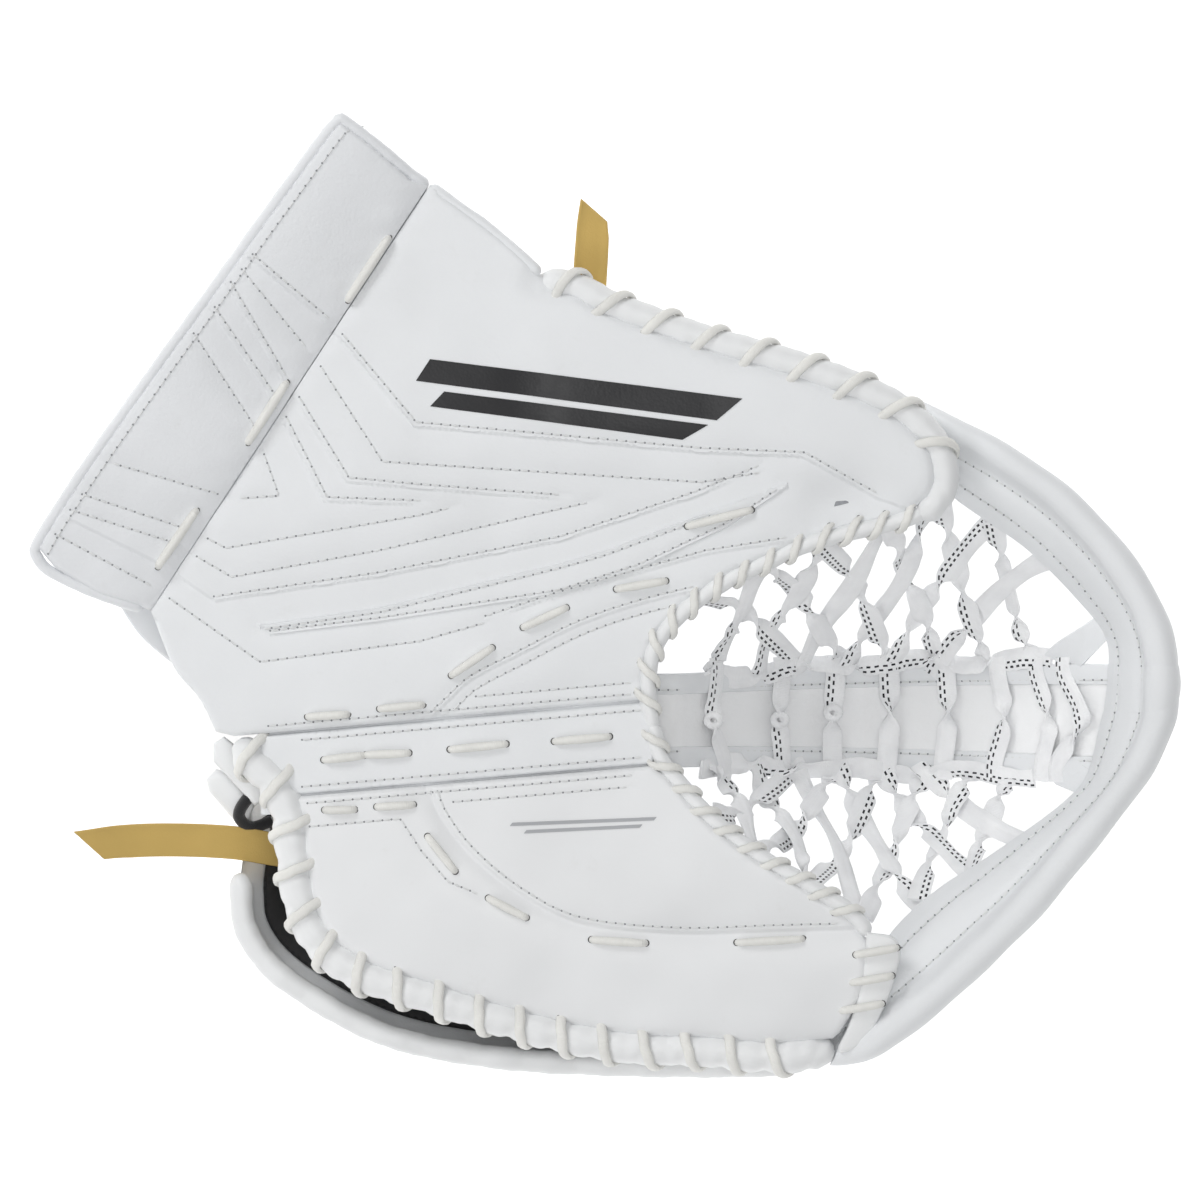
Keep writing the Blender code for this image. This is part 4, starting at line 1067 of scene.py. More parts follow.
# ------------------------------------------------------------------ finger side
lower_xs = np.arange(-112, 19, 2.5)
FINGER_WELT_PATH = curve(FINGER_WELT, 2.5)
FINGER_POCKET_PATH = curve(FINGER_POCKET, 2.5)
welt_side = shift(FINGER_WELT_PATH[::-1], 4.2)
welt_side = welt_side[welt_side[:, 1] < lower_seam(welt_side[:, 0]) - 2.0]
finger_outline = ring_of(
    welt_side, np.column_stack([lower_xs, lower_seam(lower_xs) - 0.4]),
    shift(FINGER_POCKET_PATH, 1.6)[3:], curve(FINGER_END, 2.5)[1:])
finger_rows = lined([SHIELD], (-1.6, -0.8, -0.1, 1.0, 2.2)) + lined(FINGER_LINES, GROOVE)
finger_palm = cap("finger_palm_panel.look", finger_outline, finger_surface, 18.0, SHIELD_WHITE,
                  2.6, finger_rows, 3.2, dip=2.4, dip_line=FINGER_WELT_PATH)
put(finger_palm, "finger_side", "white_leather", "finger_palm_panel", "palm_shield", fill=0.7)
finger_skin = Skin(finger_palm)
finger_sewing = Shape()
sew(finger_sewing, FINGER_LINES, finger_outline, finger_skin, 2.2)
put(finger_sewing.make("finger_palm_stitching", SEWING), "finger_side", "lace")
bars = [[(left, y), (right, y + 2.2), (right - 1, y + 1.0), (left - 1, y - 1.2)]
        for left, right, y in [(-31, 20, -78.8), (-26, 15, -81.4)]]
put(printed("shield_print", bars, finger_skin, 3.0, GREY_INK), "finger_side", "shade_leather")

palm_lining_ring = ring_of(shift(close(finger_outline), 4)[:-1])
palm_lining = slab("palm_liner.look", palm_lining_ring, lambda x, y: finger_z(x, y) - 15.9, 1.2, LINER,
                   0.6, 5.0)
put(palm_lining, "finger_side", "liner", "palm_liner")

# Lace stitches that run through the palms.
palm_laces = [((-103.7, -41.5), (-89.8, -40.6)), ((-78, -38.6), (-63, -37.2)),
              ((-52.5, -26.6), (-38.3, -17)), ((-27, -9.6), (-12, -2.8)),
              ((6, 3.9), (23, 6.7)), ((31, 26), (53, 31.6))]
shield_laces = [((-97.6, -74.6), (-87.3, -74.4)), ((-79, -73.4), (-66.4, -72.6)),
                ((-61, -84), (-51.5, -96)), ((-39.4, -105.8), (-26.3, -112.5)),
                ((-2.8, -120.3), (16, -121.4)), ((48.6, -121), (71.4, -119.6))]
put(laces("thumb_palm_laces", palm_laces, palm_skin, 1.35), "thumb_side", "lace")
put(laces("finger_palm_laces", shield_laces, finger_skin, 1.35), "finger_side", "lace")

# ------------------------------------------------------------------ break strip
strip_xs = np.arange(-121, 21.5, 2.5)


def strip_surface(x, y):
    x, y = np.asarray(x, float), np.asarray(y, float)
    across = (y - lower_seam(x)) / (upper_seam(x) - lower_seam(x))
    crown = 0.9 * np.sin(np.pi * np.clip(across, 0, 1))
    return seam_z(x) - 1.1 + crown + waves(x, y, 18, 0.3)


strip_outline = ring_of(np.column_stack([strip_xs, upper_seam(strip_xs) - 0.3]),
                        np.column_stack([strip_xs[::-1], lower_seam(strip_xs[::-1]) + 0.3]))
strip = slab("break_strip.look", strip_outline, strip_surface, 3.0, WHITE, 1.3, 3.0)
put(strip, "t_trap", "shade_leather", "break_strip")
strip_skin = Skin(strip)
# A soft leather gusset lies under each seam.
for label, seam, way, side_body in (("upper", upper_seam, 1, "thumb_side"),
                                    ("lower", lower_seam, -1, "finger_side")):
    gusset_ring = ring_of(np.column_stack([strip_xs, seam(strip_xs) + 6.0]),
                          np.column_stack([strip_xs[::-1], seam(strip_xs[::-1]) - 6.0]))
    gusset = slab(f"break_gusset_{label}", gusset_ring, lambda x, y: seam_z(x) - 3.5, 0.9, WHITE,
                  0.4, 1.6)
    low_end, high_end = (np.array([x, float(seam(x)), 0.0]) for x in (-120.0, 20.0))
    along = high_end - low_end
    over = np.array([-along[1], along[0], 0.0])
    over = over / np.linalg.norm(over) * way * 3.0
    centre = (low_end + high_end) / 2 + (0, 0, float(seam_z(-50.0)) - 3.5)
    bend(gusset, side_body, "t_trap", centre + over, centre - over, "shade_leather")
strip_sewing = Shape()
xs = np.arange(-106, 16, 0.8)
for seam, offset in ((upper_seam, -3.0), (lower_seam, 3.0)):
    stitches(strip_sewing, on_surface(np.column_stack([xs, seam(xs) + offset]), strip_skin, 0.1))
put(strip_sewing.make("break_strip_stitching", SEWING), "t_trap", "lace")
break_laces = [((-98, -56.8), (-84, -55.2)), ((-83, -55), (-68, -54.3)),
               ((-53, -53), (-33.4, -51)), ((-16, -50), (3.2, -48.3))]
put(laces("break_lace.look", break_laces, strip_skin, 1.4, 2.6), "t_trap", "lace", "break_lace")

# ------------------------------------------------------------------ edge welts and their laces


def edge_pair(name, path, skin, height, drop, radius, lace_r, spacing, lean, side, reach, start,
              joint):
    """A welt and the lace wound round it, as two pieces."""
    line = np.column_stack([path, height(path[:, 0], path[:, 1]) - drop])
    roll = Shape()
    welt(roll, line, radius, spacing, start, lean)
    piece = roll.make(f"{name}_welt.look", [WELT_WHITE])
    wound = Shape()
    for way_down in wraps(wound, line, side, radius, lace_r, spacing, reach, lean, start):
        for at in way_down:
            z = float(skin(at[0], at[1]))
            if at[2] < z + 0.2:
                hole_shade_disc(wound, np.array([at[0], at[1], z + 0.05]), lace_r * 0.72)
                break
    lace = wound.make(f"{name}_lace.look", LACING)
    carry = bend if len(joint) > 1 else put
    carry(piece, *joint, "white_leather", f"{name}_welt", fill=0.8)
    carry(lace, *joint, "lace", f"{name}_lace")


edge_pair("thumb_edge", THUMB_WELT_PATH, palm_skin, thumb_z, 2.6, 5.0, 1.75, 18.0, 10.0, 1, 8.0, 4.0,
          ["thumb_side"])
edge_pair("finger_edge", FINGER_WELT_PATH, finger_skin, finger_z, 3.8, 6.6, 1.85, 15.2, 6.5, -1, 9.6,
          3.0, ("finger_side", "t_trap", (-113, -80, 52), (-121, -62, 54)))
POCKET_DOWN = np.vstack([THUMB_POCKET_PATH, [(17.6, -39), (18.2, -42), (18.8, -46), (19, -48)]])
POCKET_UP = np.vstack([[(18.6, -43.5), (18.9, -46), (19.6, -50)], FINGER_POCKET_PATH])
edge_pair("pocket_thumb", curve(POCKET_DOWN[::3], 2.5), palm_skin, thumb_z, 2.2, 3.0, 1.5, 10.2, 8.0,
          1, 4.2, 2.0, ("thumb_side", "t_trap", (18, -30, 69), (18, -41, 69)))
edge_pair("pocket_finger", curve(POCKET_UP[::3], 2.5), finger_skin, finger_z, 2.2, 3.0, 1.5, 10.2,
          8.0, 1, 4.2, 2.0, ("finger_side", "t_trap", (18, -66, 69), (18, -54, 69)))
end_path = curve([(100, -119), (97.1, -138), (89, -156)], 2.0)
put(rolled_edge("finger_end_welt.look", on_surface(end_path, finger_z, -2.4), 3.4, WELT_WHITE),
    "finger_side", "white_leather", "finger_end_welt")
strip_edge = curve([(94, -117), (103, -118.5), (106, -124), (104, -134), (100, -145), (93, -157),
                    (84, -160), (88, -150), (92, -136), (94, -117)], 2.0)
end_strip = slab("finger_end_strip", ring_of(strip_edge[:-1]),
                 lambda x, y: finger_z(x, y) + 1.4 - 0.012 * np.maximum(0, x - 90 - 0.25 * (y + 150))**2,
                 2.6, WELT_WHITE, 1.2, 3.0)
put(end_strip, "finger_side", "white_leather")
end_laces = []
for y in (-124, -134, -144):
    x = 99.6 - 0.02 * (y + 119)**2 / 2.4
    end_laces.append(((x - 9, y - 1), (x + 5, y + 1.5)))
put(laces("finger_end_lace", end_laces, lambda x, y: finger_z(x, y) + 0.9, 1.35), "finger_side", "lace")

# ------------------------------------------------------------------ pocket band and its columns
band_xs = np.arange(17.6, 184.5, 2.4)
band_rows = []
for x in band_xs:
    half = band_half(x) - 1.6
    ys = np.linspace(-half, half, 13)
    sag = 0.8 * (1 - (ys / half)**2)
    top = np.column_stack([np.full(len(ys), x), BAND_MID_Y - 0.8 + ys, band_z(x) + 1.5 - sag])
    low = top[::-1] - (0, 0, 3.0)
    band_rows.append(np.vstack([top, low]))
# The band's brightened leather is painted light against the pocket's shade.
band = Shape()
band.grid(np.array(band_rows))
put(band.make("pocket_band.look", [BAND_LIT_WHITE]), "t_trap", "shade_leather", "pocket_band")


def band_line(offset, lift, step=0.8):
    """A line along the band, this far from its middle and above it."""
    xs = np.arange(17.6, 184.0, step)
    ys = BAND_MID_Y - 0.8 + offset(xs)
    return np.column_stack([xs, ys, band_z(xs) + lift])


band_sewing = Shape()
for label, side in (("upper", 1), ("lower", -1)):
    edge = band_line(lambda xs: side * (band_half(xs) - 2.6), 0.1, 2.0)
    slope = np.gradient(edge[:, 2]) / np.gradient(edge[:, 0])
    normal = unit(np.column_stack([-slope, np.zeros(len(slope)), np.ones(len(slope))]))
    strap = Shape()
    tape(strap, edge, normal, 7.6, 5.0)
    put(strap.make(f"pocket_band_binding_{label}.look", [WHITE]), "t_trap", "white_leather",
        f"pocket_band_binding_{label}")
    stitches(band_sewing, band_line(lambda xs: side * (band_half(xs) - 4.6), 2.75))
put(band_sewing.make("pocket_band_stitching", SEWING), "t_trap", "lace")

COLUMNS = [(41.5, 40.5, 44.4), (65.7, 65, 65.7), (85.2, 84.5, 84.1), (104.7, 105.4, 104),
           (125, 126, 124.3), (143, 145.6, 142), (156, 160.5, 158), (165, 171, 163)]
for number, (top, mid, low) in enumerate(COLUMNS):
    path = curve([(top, -20.5, 0), (top + 0.4, -27, 0), (mid, -43, 0), (low + 0.3, -58, 0),
                  (low, -65, 0)], 1.2)
    ys = path[:, 1]
    hump = 3.4 + 1.6 * np.sin(np.pi * np.clip((ys + 65) / 44.5, 0, 1))
    path[:, 2] = band_z(path[:, 0]) + hump
    slope = (band_z(path[:, 0] + 1) - band_z(path[:, 0] - 1)) / 2
    normal = unit(np.column_stack([-slope, np.zeros(len(slope)), np.ones(len(slope))]))
    t = np.linspace(0, 1, len(path))
    turn_at = 0.5 + 0.05 * RNG.standard_normal()
    twist = np.pi * smooth((t - turn_at + 0.17) / 0.34) * (1 if number % 2 else -1)
    if number in (1, 5):
        twist += np.pi
    widths = 7.4 - 2.6 * np.exp(-((t - turn_at) / 0.07)**2)
    column = Shape()
    tape(column, path, normal, widths, twist=twist)
    if number in (0, 1, 2):
        knot_at = path[int(turn_at * (len(path) - 1))]
        turn = np.linspace(0, 2 * np.pi, 15)
        loop = knot_at + np.column_stack([2.3 * np.cos(turn), 2.0 * np.sin(turn),
                                          1.4 + 0.5 * np.sin(2 * turn)])
        column.grid(round_rows(loop, 1.3))
    put(column.make(f"lace_column_{number + 1}.look", [WEB]), "t_trap", "lace",
        f"lace_column_{number + 1}")

# ------------------------------------------------------------------ nets
NET_UPPER_EDGE = [(22, -16, 66), (31, -4, 66), (52, 9, 68), (76, 19.5, 71), (104, 26, 70),
                  (124, 36, 58), (149, 21, 57), (163, 10, 56), (174, -4, 56)]
NET_LOWER_EDGE = [(26, -60, 66), (40, -76, 64), (56, -89, 62), (76, -101, 60), (98, -113, 56),
                  (118, -104, 52), (138, -93, 53), (156, -81, 53), (168, -71, 54)]


def along_curve(line, at):
    """The points at these parts of the way along an even line."""
    return np.column_stack([np.interp(at, np.linspace(0, 1, len(line)), line[:, k])
                            for k in range(3)])


def net_surface(edge, side, end_x):
    """Where the net hangs, from its outer edge (v 0) down to the band's edge (v 1)."""
    line = curve(edge, 2.0)

    def place(u, v):
        u = np.clip(u, 0, 1)
        top = along_curve(line, u)
        x = BAND_START_X + 4 + (end_x - BAND_START_X - 4) * u
        y = BAND_MID_Y - 0.8 + side * (band_half(x) + 0.6)
        low = np.column_stack([x, y, band_z(x) + 1.8])
        v = v[:, None]
        point = top * (1 - v) + low * v
        point[:, 2] -= 9 * np.sin(np.pi * v[:, 0]) * np.sin(np.pi * u)
        return point

    return place


def net_strand(place, start_u, lean, seed):
    """One flat lace of a net, from the edge to the band, over and under those it meets."""
    rng = np.random.default_rng(seed)
    v = np.linspace(-0.02, 1.04, 46)
    u = start_u + lean * v
    points = place(u, v)
    du = place(u + 0.004, v) - place(u - 0.004, v)
    dv = place(u, v + 0.01) - place(u, v - 0.01)
    normal = unit(np.cross(du, dv))
    normal *= np.sign(normal[:, 2:3] + 1e-9)
    over = 1 if lean > 0 else -1
    points = points + normal * (over * 1.25 * np.cos(3 * np.pi * v))[:, None]
    points[:, 0] += 0.7 * np.sin(7 * v + rng.random() * 6)
    twist, widths = wander(v, 3, 0.18, rng)
    return points, normal, widths, twist


def wander(along, turns, span, rng):
    """How a flat lace turns over and narrows on its way."""
    twist = np.zeros(len(along)) + rng.choice([0, np.pi])
    widths = np.full(len(along), 8.0)
    for k in range(turns):
        middle = (k + 0.5) / turns + 0.15 / turns * rng.standard_normal()
        if rng.random() < 0.6:
            twist += rng.choice([-1, 1]) * np.pi * smooth((along - middle + span / 2) / span)
            widths -= 3.2 * np.exp(-((along - middle) / (span * 0.3))**2)
        else:
            widths -= 2.2 * rng.random() * np.exp(-((along - middle) / (span * 0.6))**2)
    return twist + 0.4 * np.sin(along * turns * 2 + rng.random() * 6), widths


def make_net(name, edge, side, end_x, columns, body, replaced, lows, highs):
    """Two crossing sets of strands, each running from its side's outer edge down to the band."""
    place = net_surface(edge, side, end_x)
    number = 0
    for k in range(-1, columns + 2):
        for lean in (1.5 / columns, -1.5 / columns):
            start_u = k / columns
            if not (lows <= start_u <= highs and lows <= start_u + lean <= highs):
                continue
            number += 1
            points, normal, widths, twist = net_strand(place, start_u, lean, 100 * columns + number)
            strand = Shape()
            tape(strand, points, normal, widths, twist=twist)
            piece = strand.make(f"{name}_lace_{number:02d}", [WEB])
            bend(piece, body, "t_trap", points[0], points[-1], "lace",
                 *((replaced,) if number == 1 else ()))
    # One more lace runs along the band, where the strands come down.
    steps = 120
    u = np.linspace(lows, highs, steps)
    points = place(u, np.full(steps, 0.97))
    rng = np.random.default_rng(columns + 40 + side)
    sway = np.cumsum(rng.standard_normal(steps))
    points[:, 2] += 1.6 + 1.2 * np.sin(u * columns * 2 * np.pi)
    points[:, 1] += side * (1.1 * np.sin(u * columns * 2.6 + 1) + 0.12 * (sway - sway.mean()))
    slope = np.gradient(points[:, 2]) / np.gradient(points[:, 0])
    normal = unit(np.column_stack([-slope, np.full(steps, side * 0.5), np.ones(steps)]))
    runner = Shape()
    twist, widths = wander(u, columns, 0.06, rng)
    tape(runner, points, normal, widths, twist=twist)
    put(runner.make(f"{name}_row", [WEB]), "t_trap", "lace")


make_net("web_upper", NET_UPPER_EDGE, 1, 164, 8, "thumb_side", "web_net_upper", 0.05, 0.98)
make_net("web_lower", NET_LOWER_EDGE, -1, 158, 8, "finger_side", "web_net_lower", 0.04, 0.98)


# ------------------------------------------------------------------ rim
FOOT_HALF = 3.0
WALL_START = 1.25 * LIP_R


def rim_frame(lip, foot, stations):
    """Lip points, and the unit vectors down the wall and out of its inner face."""
    at = np.linspace(0, 1, stations)
    top, low = (along_curve(curve(line, 2.0), at) for line in (lip, foot))
    run = low - top
    reach = np.linalg.norm(run, axis=1)
    down = unit(run)
    rise = np.array([0, 0, 1.0]) - down * down[:, 2:3]
    return top, down, unit(rise), reach


def rim_wall(lip, foot, stations, extra=0.0):
    """The padded wall and its rolled lip; the inner face swells between two sewn rows."""
    top, down, face, reach = rim_frame(lip, foot, stations)
    roll_turns = np.linspace(0.28 * np.pi, 1.72 * np.pi, 17)
    steps = np.linspace(0, 1, 14)
    rows = []
    for i in range(stations):
        wobble = 0.25 * math.sin(0.5 * i) + 0.2 * math.sin(0.23 * i + 1)
        more = extra * math.sin(math.pi * i / (stations - 1))
        size = LIP_R + 0.18 * math.sin(0.37 * i) + more
        section = []
        for t in steps[::-1]:
            s = WALL_START + (reach[i] - WALL_START) * t
            puff = 1.7 * np.sin(np.pi * np.clip((t - 0.1) / 0.84, 0, 1))**0.7 if 0.1 < t < 0.94 else 0
            puff -= 0.7 * math.exp(-((t - 0.1) / 0.05)**2) + 0.5 * math.exp(-((t - 0.62) / 0.04)**2)
            section.append((s, FOOT_HALF + puff + more + 0.3 * wobble * np.sin(np.pi * t)))
        for a in roll_turns:
            section.append((size * math.cos(a), size * math.sin(a)))
        for t in steps[::2]:
            s = WALL_START + (reach[i] - WALL_START) * t
            puff = 1.2 * np.sin(np.pi * t)
            section.append((s, -FOOT_HALF - puff - more))
        rows.append([top[i] + down[i] * a + face[i] * b for a, b in section])
    shape = Shape()
    shape.grid(np.array(rows))
    return shape


def rim_rows(shape, lip, foot, stations, rows):
    """Sewing on the inner face, at these parts of the way from the lip to the foot."""
    top, down, face, reach = rim_frame(lip, foot, stations)
    for t, lift in rows:
        s = WALL_START + (reach - WALL_START) * t
        stitches(shape, top + down * s[:, None] + face * (FOOT_HALF + lift))


for label, lip, foot, stations, body, low, high in (
        ("upper", RIM_UPPER_LIP, RIM_UPPER_FOOT, 84, "thumb_side", (190, -2, 80), (190, -22, 80)),
        ("lower", RIM_LOWER_LIP, RIM_LOWER_FOOT, 110, "finger_side", (185, -60, 80), (190, -42, 80))):
    wall = rim_wall(lip, foot, stations)
    bend(wall.make(f"rim_{label}.look", [WHITE], 75), body, "t_trap", low, high, "white_leather",
         f"rim_{label}", fill=0.7)
    sewing = Shape()
    rim_rows(sewing, lip, foot, stations, [(0.10, -0.3), (0.62, 1.4)])
    bend(sewing.make(f"rim_{label}_stitching", SEWING), body, "t_trap", low, high, "lace")
crest = rim_wall([(196.7, -23, 90.5), (196.7, -31, 90.5), (196, -39.5, 90.2)],
                 [(183, -23, 60), (183, -31, 60), (181.4, -39.5, 60)], 14, 0.45)
put(crest.make("rim_crest.look", [WHITE], 75), "t_trap", "white_leather", "rim_crest", fill=0.6)
tabs = Shape()
for outline in ([(158, -20), (164, -14.5), (179, -4), (184, -10), (171, -24)],
                [(158, -60), (168, -56), (182, -65), (177, -72), (163, -66)]):
    flat, faces, far = patch(ring_of(corners(close(outline), 1.6)[:-1]), (), 2.6, (0.5,))
    z = band_z(flat[:, 0]) + 3.4 - roll_off(far, 1.4)
    tabs.add(np.column_stack([flat, z]), faces)
tab_piece = tabs.make("band_end_tabs", [WHITE])
thicken(tab_piece)
put(tab_piece, "t_trap", "white_leather")

# ------------------------------------------------------------------ back of the glove
def casing_height(edge_z, edge, grooves):
    line = curve(edge, 3.0)
    sewn = [resample(np.array(g, float), 2.0) for g in grooves]

    def height(x, y):
        flat = plan(x, y)
        far = away(flat, line)[0]
        rim_z = edge_z(flat[:, 0], flat[:, 1])
        z = 2.5 + (rim_z - 2.5) * np.maximum(0, 1 - far / 45)**3.2
        for groove in sewn:
            near = away(flat, groove)[0]
            z += 1.1 * np.exp(-(near / 1.4)**2)
        return z.reshape(np.shape(x))

    return height


FINGER_GROOVES = [[(-104, -92), (-40, -101), (40, -110), (66, -113)],
                  [(-106, -112), (-52, -124), (30, -136), (84, -140)],
                  [(-92, -134), (-40, -146), (60, -152)], [(-60, -78), (-70, -150)],
                  [(10, -82), (4, -164)]]
CASING_RINGS = (0.4, 1.2, 2.4, 4.2, 6.5, 9.5, 13, 18)


def back_casing(label, outline, height, grooves, paint):
    """The shell over the back of one side, with rows of sewing on its outside."""
    rows = [(resample(np.array(groove, float), 1.6), (-1.4, 0.0, 1.4)) for groove in grooves]
    casing = slab(f"{label}_back_casing.look", outline, height, 2.5, paint, 0.9, 4.0, rows,
                  CASING_RINGS)
    put(casing, f"{label}_side", "white_leather", f"{label}_back_casing")
    sewing = Shape()
    for groove in grooves:
        fine = resample(np.array(groove, float), 0.9)
        fine = fine[inside(fine, outline) & (away(fine, close(outline))[0] > 3)]
        stitches(sewing, on_surface(fine, height, -2.75))
    put(sewing.make(f"{label}_back_stitching", SEWING), f"{label}_side", "lace")


def casing_edge_z(x, y):
    return 32 + 0.04 * (x + 130)


finger_casing_height = casing_height(casing_edge_z, CASING_EDGE, FINGER_GROOVES)
casing_xs = np.arange(15, -128, -2.5)
casing_outline = ring_of(curve(CASING_EDGE, 2.5),
                         np.column_stack([casing_xs, lower_seam(casing_xs) - 2.4]))
back_casing("finger", casing_outline, finger_casing_height, FINGER_GROOVES, WHITE)
THUMB_CASING_EDGE = THUMB_TOP[:2] + [tuple(p) for p in shift(curve(THUMB_WELT, 16), 8.4)] \
    + [(100, 34), (74, 26), (45, 13), (26, -3), (12, -22)]
THUMB_CASING_HEEL = [(-136, -38), (-146, -18), (-148, -2), (-110, 62), (-66, 132)]
THUMB_GROOVES = [[(-108, 20), (-60, 40), (0, 62), (80, 62)], [(-130, -14), (-60, -4), (20, 22), (84, 42)],
                 [(-40, 104), (-60, -40)], [(24, 84), (8, -14)]]
thumb_casing_height = casing_height(lambda x, y: thumb_z(x, y) - 22, THUMB_CASING_EDGE, THUMB_GROOVES)
thumb_casing_xs = np.arange(8, -129, -2.5)
thumb_casing_outline = ring_of(curve(THUMB_CASING_EDGE, 2.5),
                               np.column_stack([thumb_casing_xs, upper_seam(thumb_casing_xs) + 2.4]),
                               curve(THUMB_CASING_HEEL, 2.5))
back_casing("thumb", thumb_casing_outline, thumb_casing_height, THUMB_GROOVES, SHADED_WHITE)
for side_name, ring, deep in (("finger", casing_outline, finger_casing_height),
                              ("thumb", thumb_casing_outline, thumb_casing_height)):
    lining_ring = ring_of(resample(shift(close(ring), 8.0), 3.0)[:-1])
    lining = slab(f"{side_name}_back_lining", lining_ring,
                  lambda x, y, deep=deep: deep(x, y) + 1.9, 1.0, LINER, 0.5, 5.0, (), CASING_RINGS)
    put(lining, f"{side_name}_side", "liner")

rolled_path = curve([(-129.6, -98)] + CASING_EDGE[:9], 2.0)
rolled_z = casing_edge_z(*rolled_path.T) + 3.0
rolled_z += 0.8 * np.sin(rolled_path[:, 0] / 7) + 0.5 * np.sin(rolled_path[:, 0] / 3.1 + 1)
rolled_line = np.column_stack([shift(rolled_path, -1.0), rolled_z])
put(rolled_edge("casing_rolled_edge.look", rolled_line, 4.2, WELT_WHITE, 18), "finger_side",
    "white_leather", "casing_rolled_edge")


def stall(name, start, end, half_wide, half_high, height, body):
    """A finger stall: a sewn cloth sleeve with a rounded tip, open at the palm."""
    start, end = np.array(start, float), np.array(end, float)
    run = end - start
    across = np.array([-run[1], run[0]]) / np.linalg.norm(run)
    at = np.r_[np.linspace(0, 0.86, 16), 0.9, 0.935, 0.962, 0.982, 0.994]
    size = np.where(at < 0.72, 1.0, np.sqrt(np.maximum(0.02, 1 - ((at - 0.72) / 0.285)**2)))
    turn = np.arange(28) * 2 * np.pi / 28
    outer = []
    for t, s in zip(at, size):
        middle = start + run * t
        z = float(height(middle[0], middle[1])) - 33.0
        fold = 1 + 0.02 * np.sin(3 * turn + 9 * t) + 0.016 * math.sin(22 * t)
        seam = 1 - 0.05 * np.exp(-((turn - np.pi) / 0.12)**2) - 0.05 * np.exp(-((turn - 0.02) / 0.12)**2)
        flat = middle + across * (half_wide * s * np.cos(turn) * fold * seam)[:, None]
        outer.append(np.column_stack([flat, z + half_high * s * np.sin(turn) * fold * seam]))
    outer = np.array(outer)
    middles = outer.mean(1, keepdims=True)
    inner = (middles + (outer - middles) * (1 - 1.5 / max(half_wide, half_high)))[::-1]
    shape = Shape()
    shape.grid(np.vstack([inner, outer]))
    put(shape.make(f"{name}.look", [LINER]), body, "liner", name)


for name, start, end, half_wide, half_high in [
        ("index_stall", (-38, -74), (18, -78.5), 9.8, 11.5),
        ("middle_stall", (-40, -95), (37, -101), 9.8, 11.5),
        ("ring_stall", (-43, -116), (50, -124), 9.8, 11.5),
        ("little_stall", (-52, -134.2), (6, -143.6), 8.6, 11.5)]:
    stall(name, start, end, half_wide, half_high, finger_z, "finger_side")
stall("thumb_stall", (-42, 14), (62, 46), 13, 12.5, thumb_z, "thumb_side")


MOST_SWELL = 0.0022


def quilted_pad(name, points, body):
    """A thin stuffed pad, swollen a little by a cloth simulation."""
    outline = ring_of(shift(curve(points + points[:1], 3.0), 1.2)[:-1])
    pad = slab(name, outline, lambda x, y: np.full(np.shape(x), 10.4), 3.4, LINER, 1.4, 5.0)
    remesh = pad.modifiers.new("even", "REMESH")
    remesh.mode = "VOXEL"
    remesh.voxel_size = 0.004
    apply_modifiers(pad)
    before = np.array([v.co[:] for v in pad.data.vertices])
    air = pad.modifiers.new("air", "CLOTH").settings
    air.use_pressure = True
    air.uniform_pressure_force = 4
    air.effector_weights.gravity = 0
    for step in range(1, 13):
        bpy.context.scene.frame_set(step)
    apply_modifiers(pad)
    bpy.context.scene.frame_set(1)
    after = np.array([v.co[:] for v in pad.data.vertices])
    moved = after - before
    far = np.linalg.norm(moved, axis=1, keepdims=True)
    after = before + moved * np.minimum(1, MOST_SWELL / np.maximum(far, 1e-9))
    pad.data.vertices.foreach_set("co", after.ravel())
    even = pad.modifiers.new("smooth", "SUBSURF")
    even.levels = even.render_levels = 1
    apply_modifiers(pad)
    pad.data.materials.clear()
    pad.data.materials.append(LINER)
    pad.data.shade_smooth()
    put(pad, body, "foam", name.replace(".look", ""), fill=0.6)


quilted_pad("backhand_pad.look", [(-96, -78), (-99, -98), (-84, -112), (-24, -126), (34, -128),
                                  (38, -122), (16, -104), (-10, -84)], "finger_side")
quilted_pad("thumb_back_pad.look", [(-104, -14), (-106, 12), (-78, 66), (-42, 74), (-6, 56),
                                    (16, 42), (2, 24), (-26, 2), (-46, -10)], "thumb_side")

# ------------------------------------------------------------------ heel and straps
heel_ring = ring_of(corners([(-139, -51.5), (-135, -49), (-120, -61), (-119, -71), (-124, -74),
                             (-139, -58), (-139, -51.5)], 1.6)[:-1])
heel_tab = slab("heel_tab.look", heel_ring, lambda x, y: 37.2 - 0.01 * (x + 129)**2, 2.4, WELT_WHITE,
                1.1, 2.6)
put(heel_tab, "finger_side", "white_leather", "heel_tab")
loop_ring = ring_of(corners([(-142, -64.5), (-138.5, -61), (-133, -62), (-124, -73), (-127, -80),
                             (-132, -79.5), (-141, -69), (-142, -64.5)], 1.6)[:-1])
heel_loop = slab("heel_strap_loop.look", loop_ring, lambda x, y: 31.5 - 0.012 * (y + 70)**2, 6.0,
                 WELT_WHITE, 2.8, 2.6, (), (0.3, 0.9, 1.7, 2.7))
put(heel_loop, "finger_side", "white_leather", "heel_strap_loop")
elastic = Shape()
elastic_path = curve([(-117, -66, 33), (-123, -68, 34.5), (-128, -73, 34), (-130, -78, 31),
                      (-126, -82, 26), (-119, -80, 23)], 1.0)
elastic.grid(round_rows(elastic_path, 2.2, 10))
put(elastic.make("elastic_loop.look", [LINER]), "finger_side", "elastic", "elastic_loop")


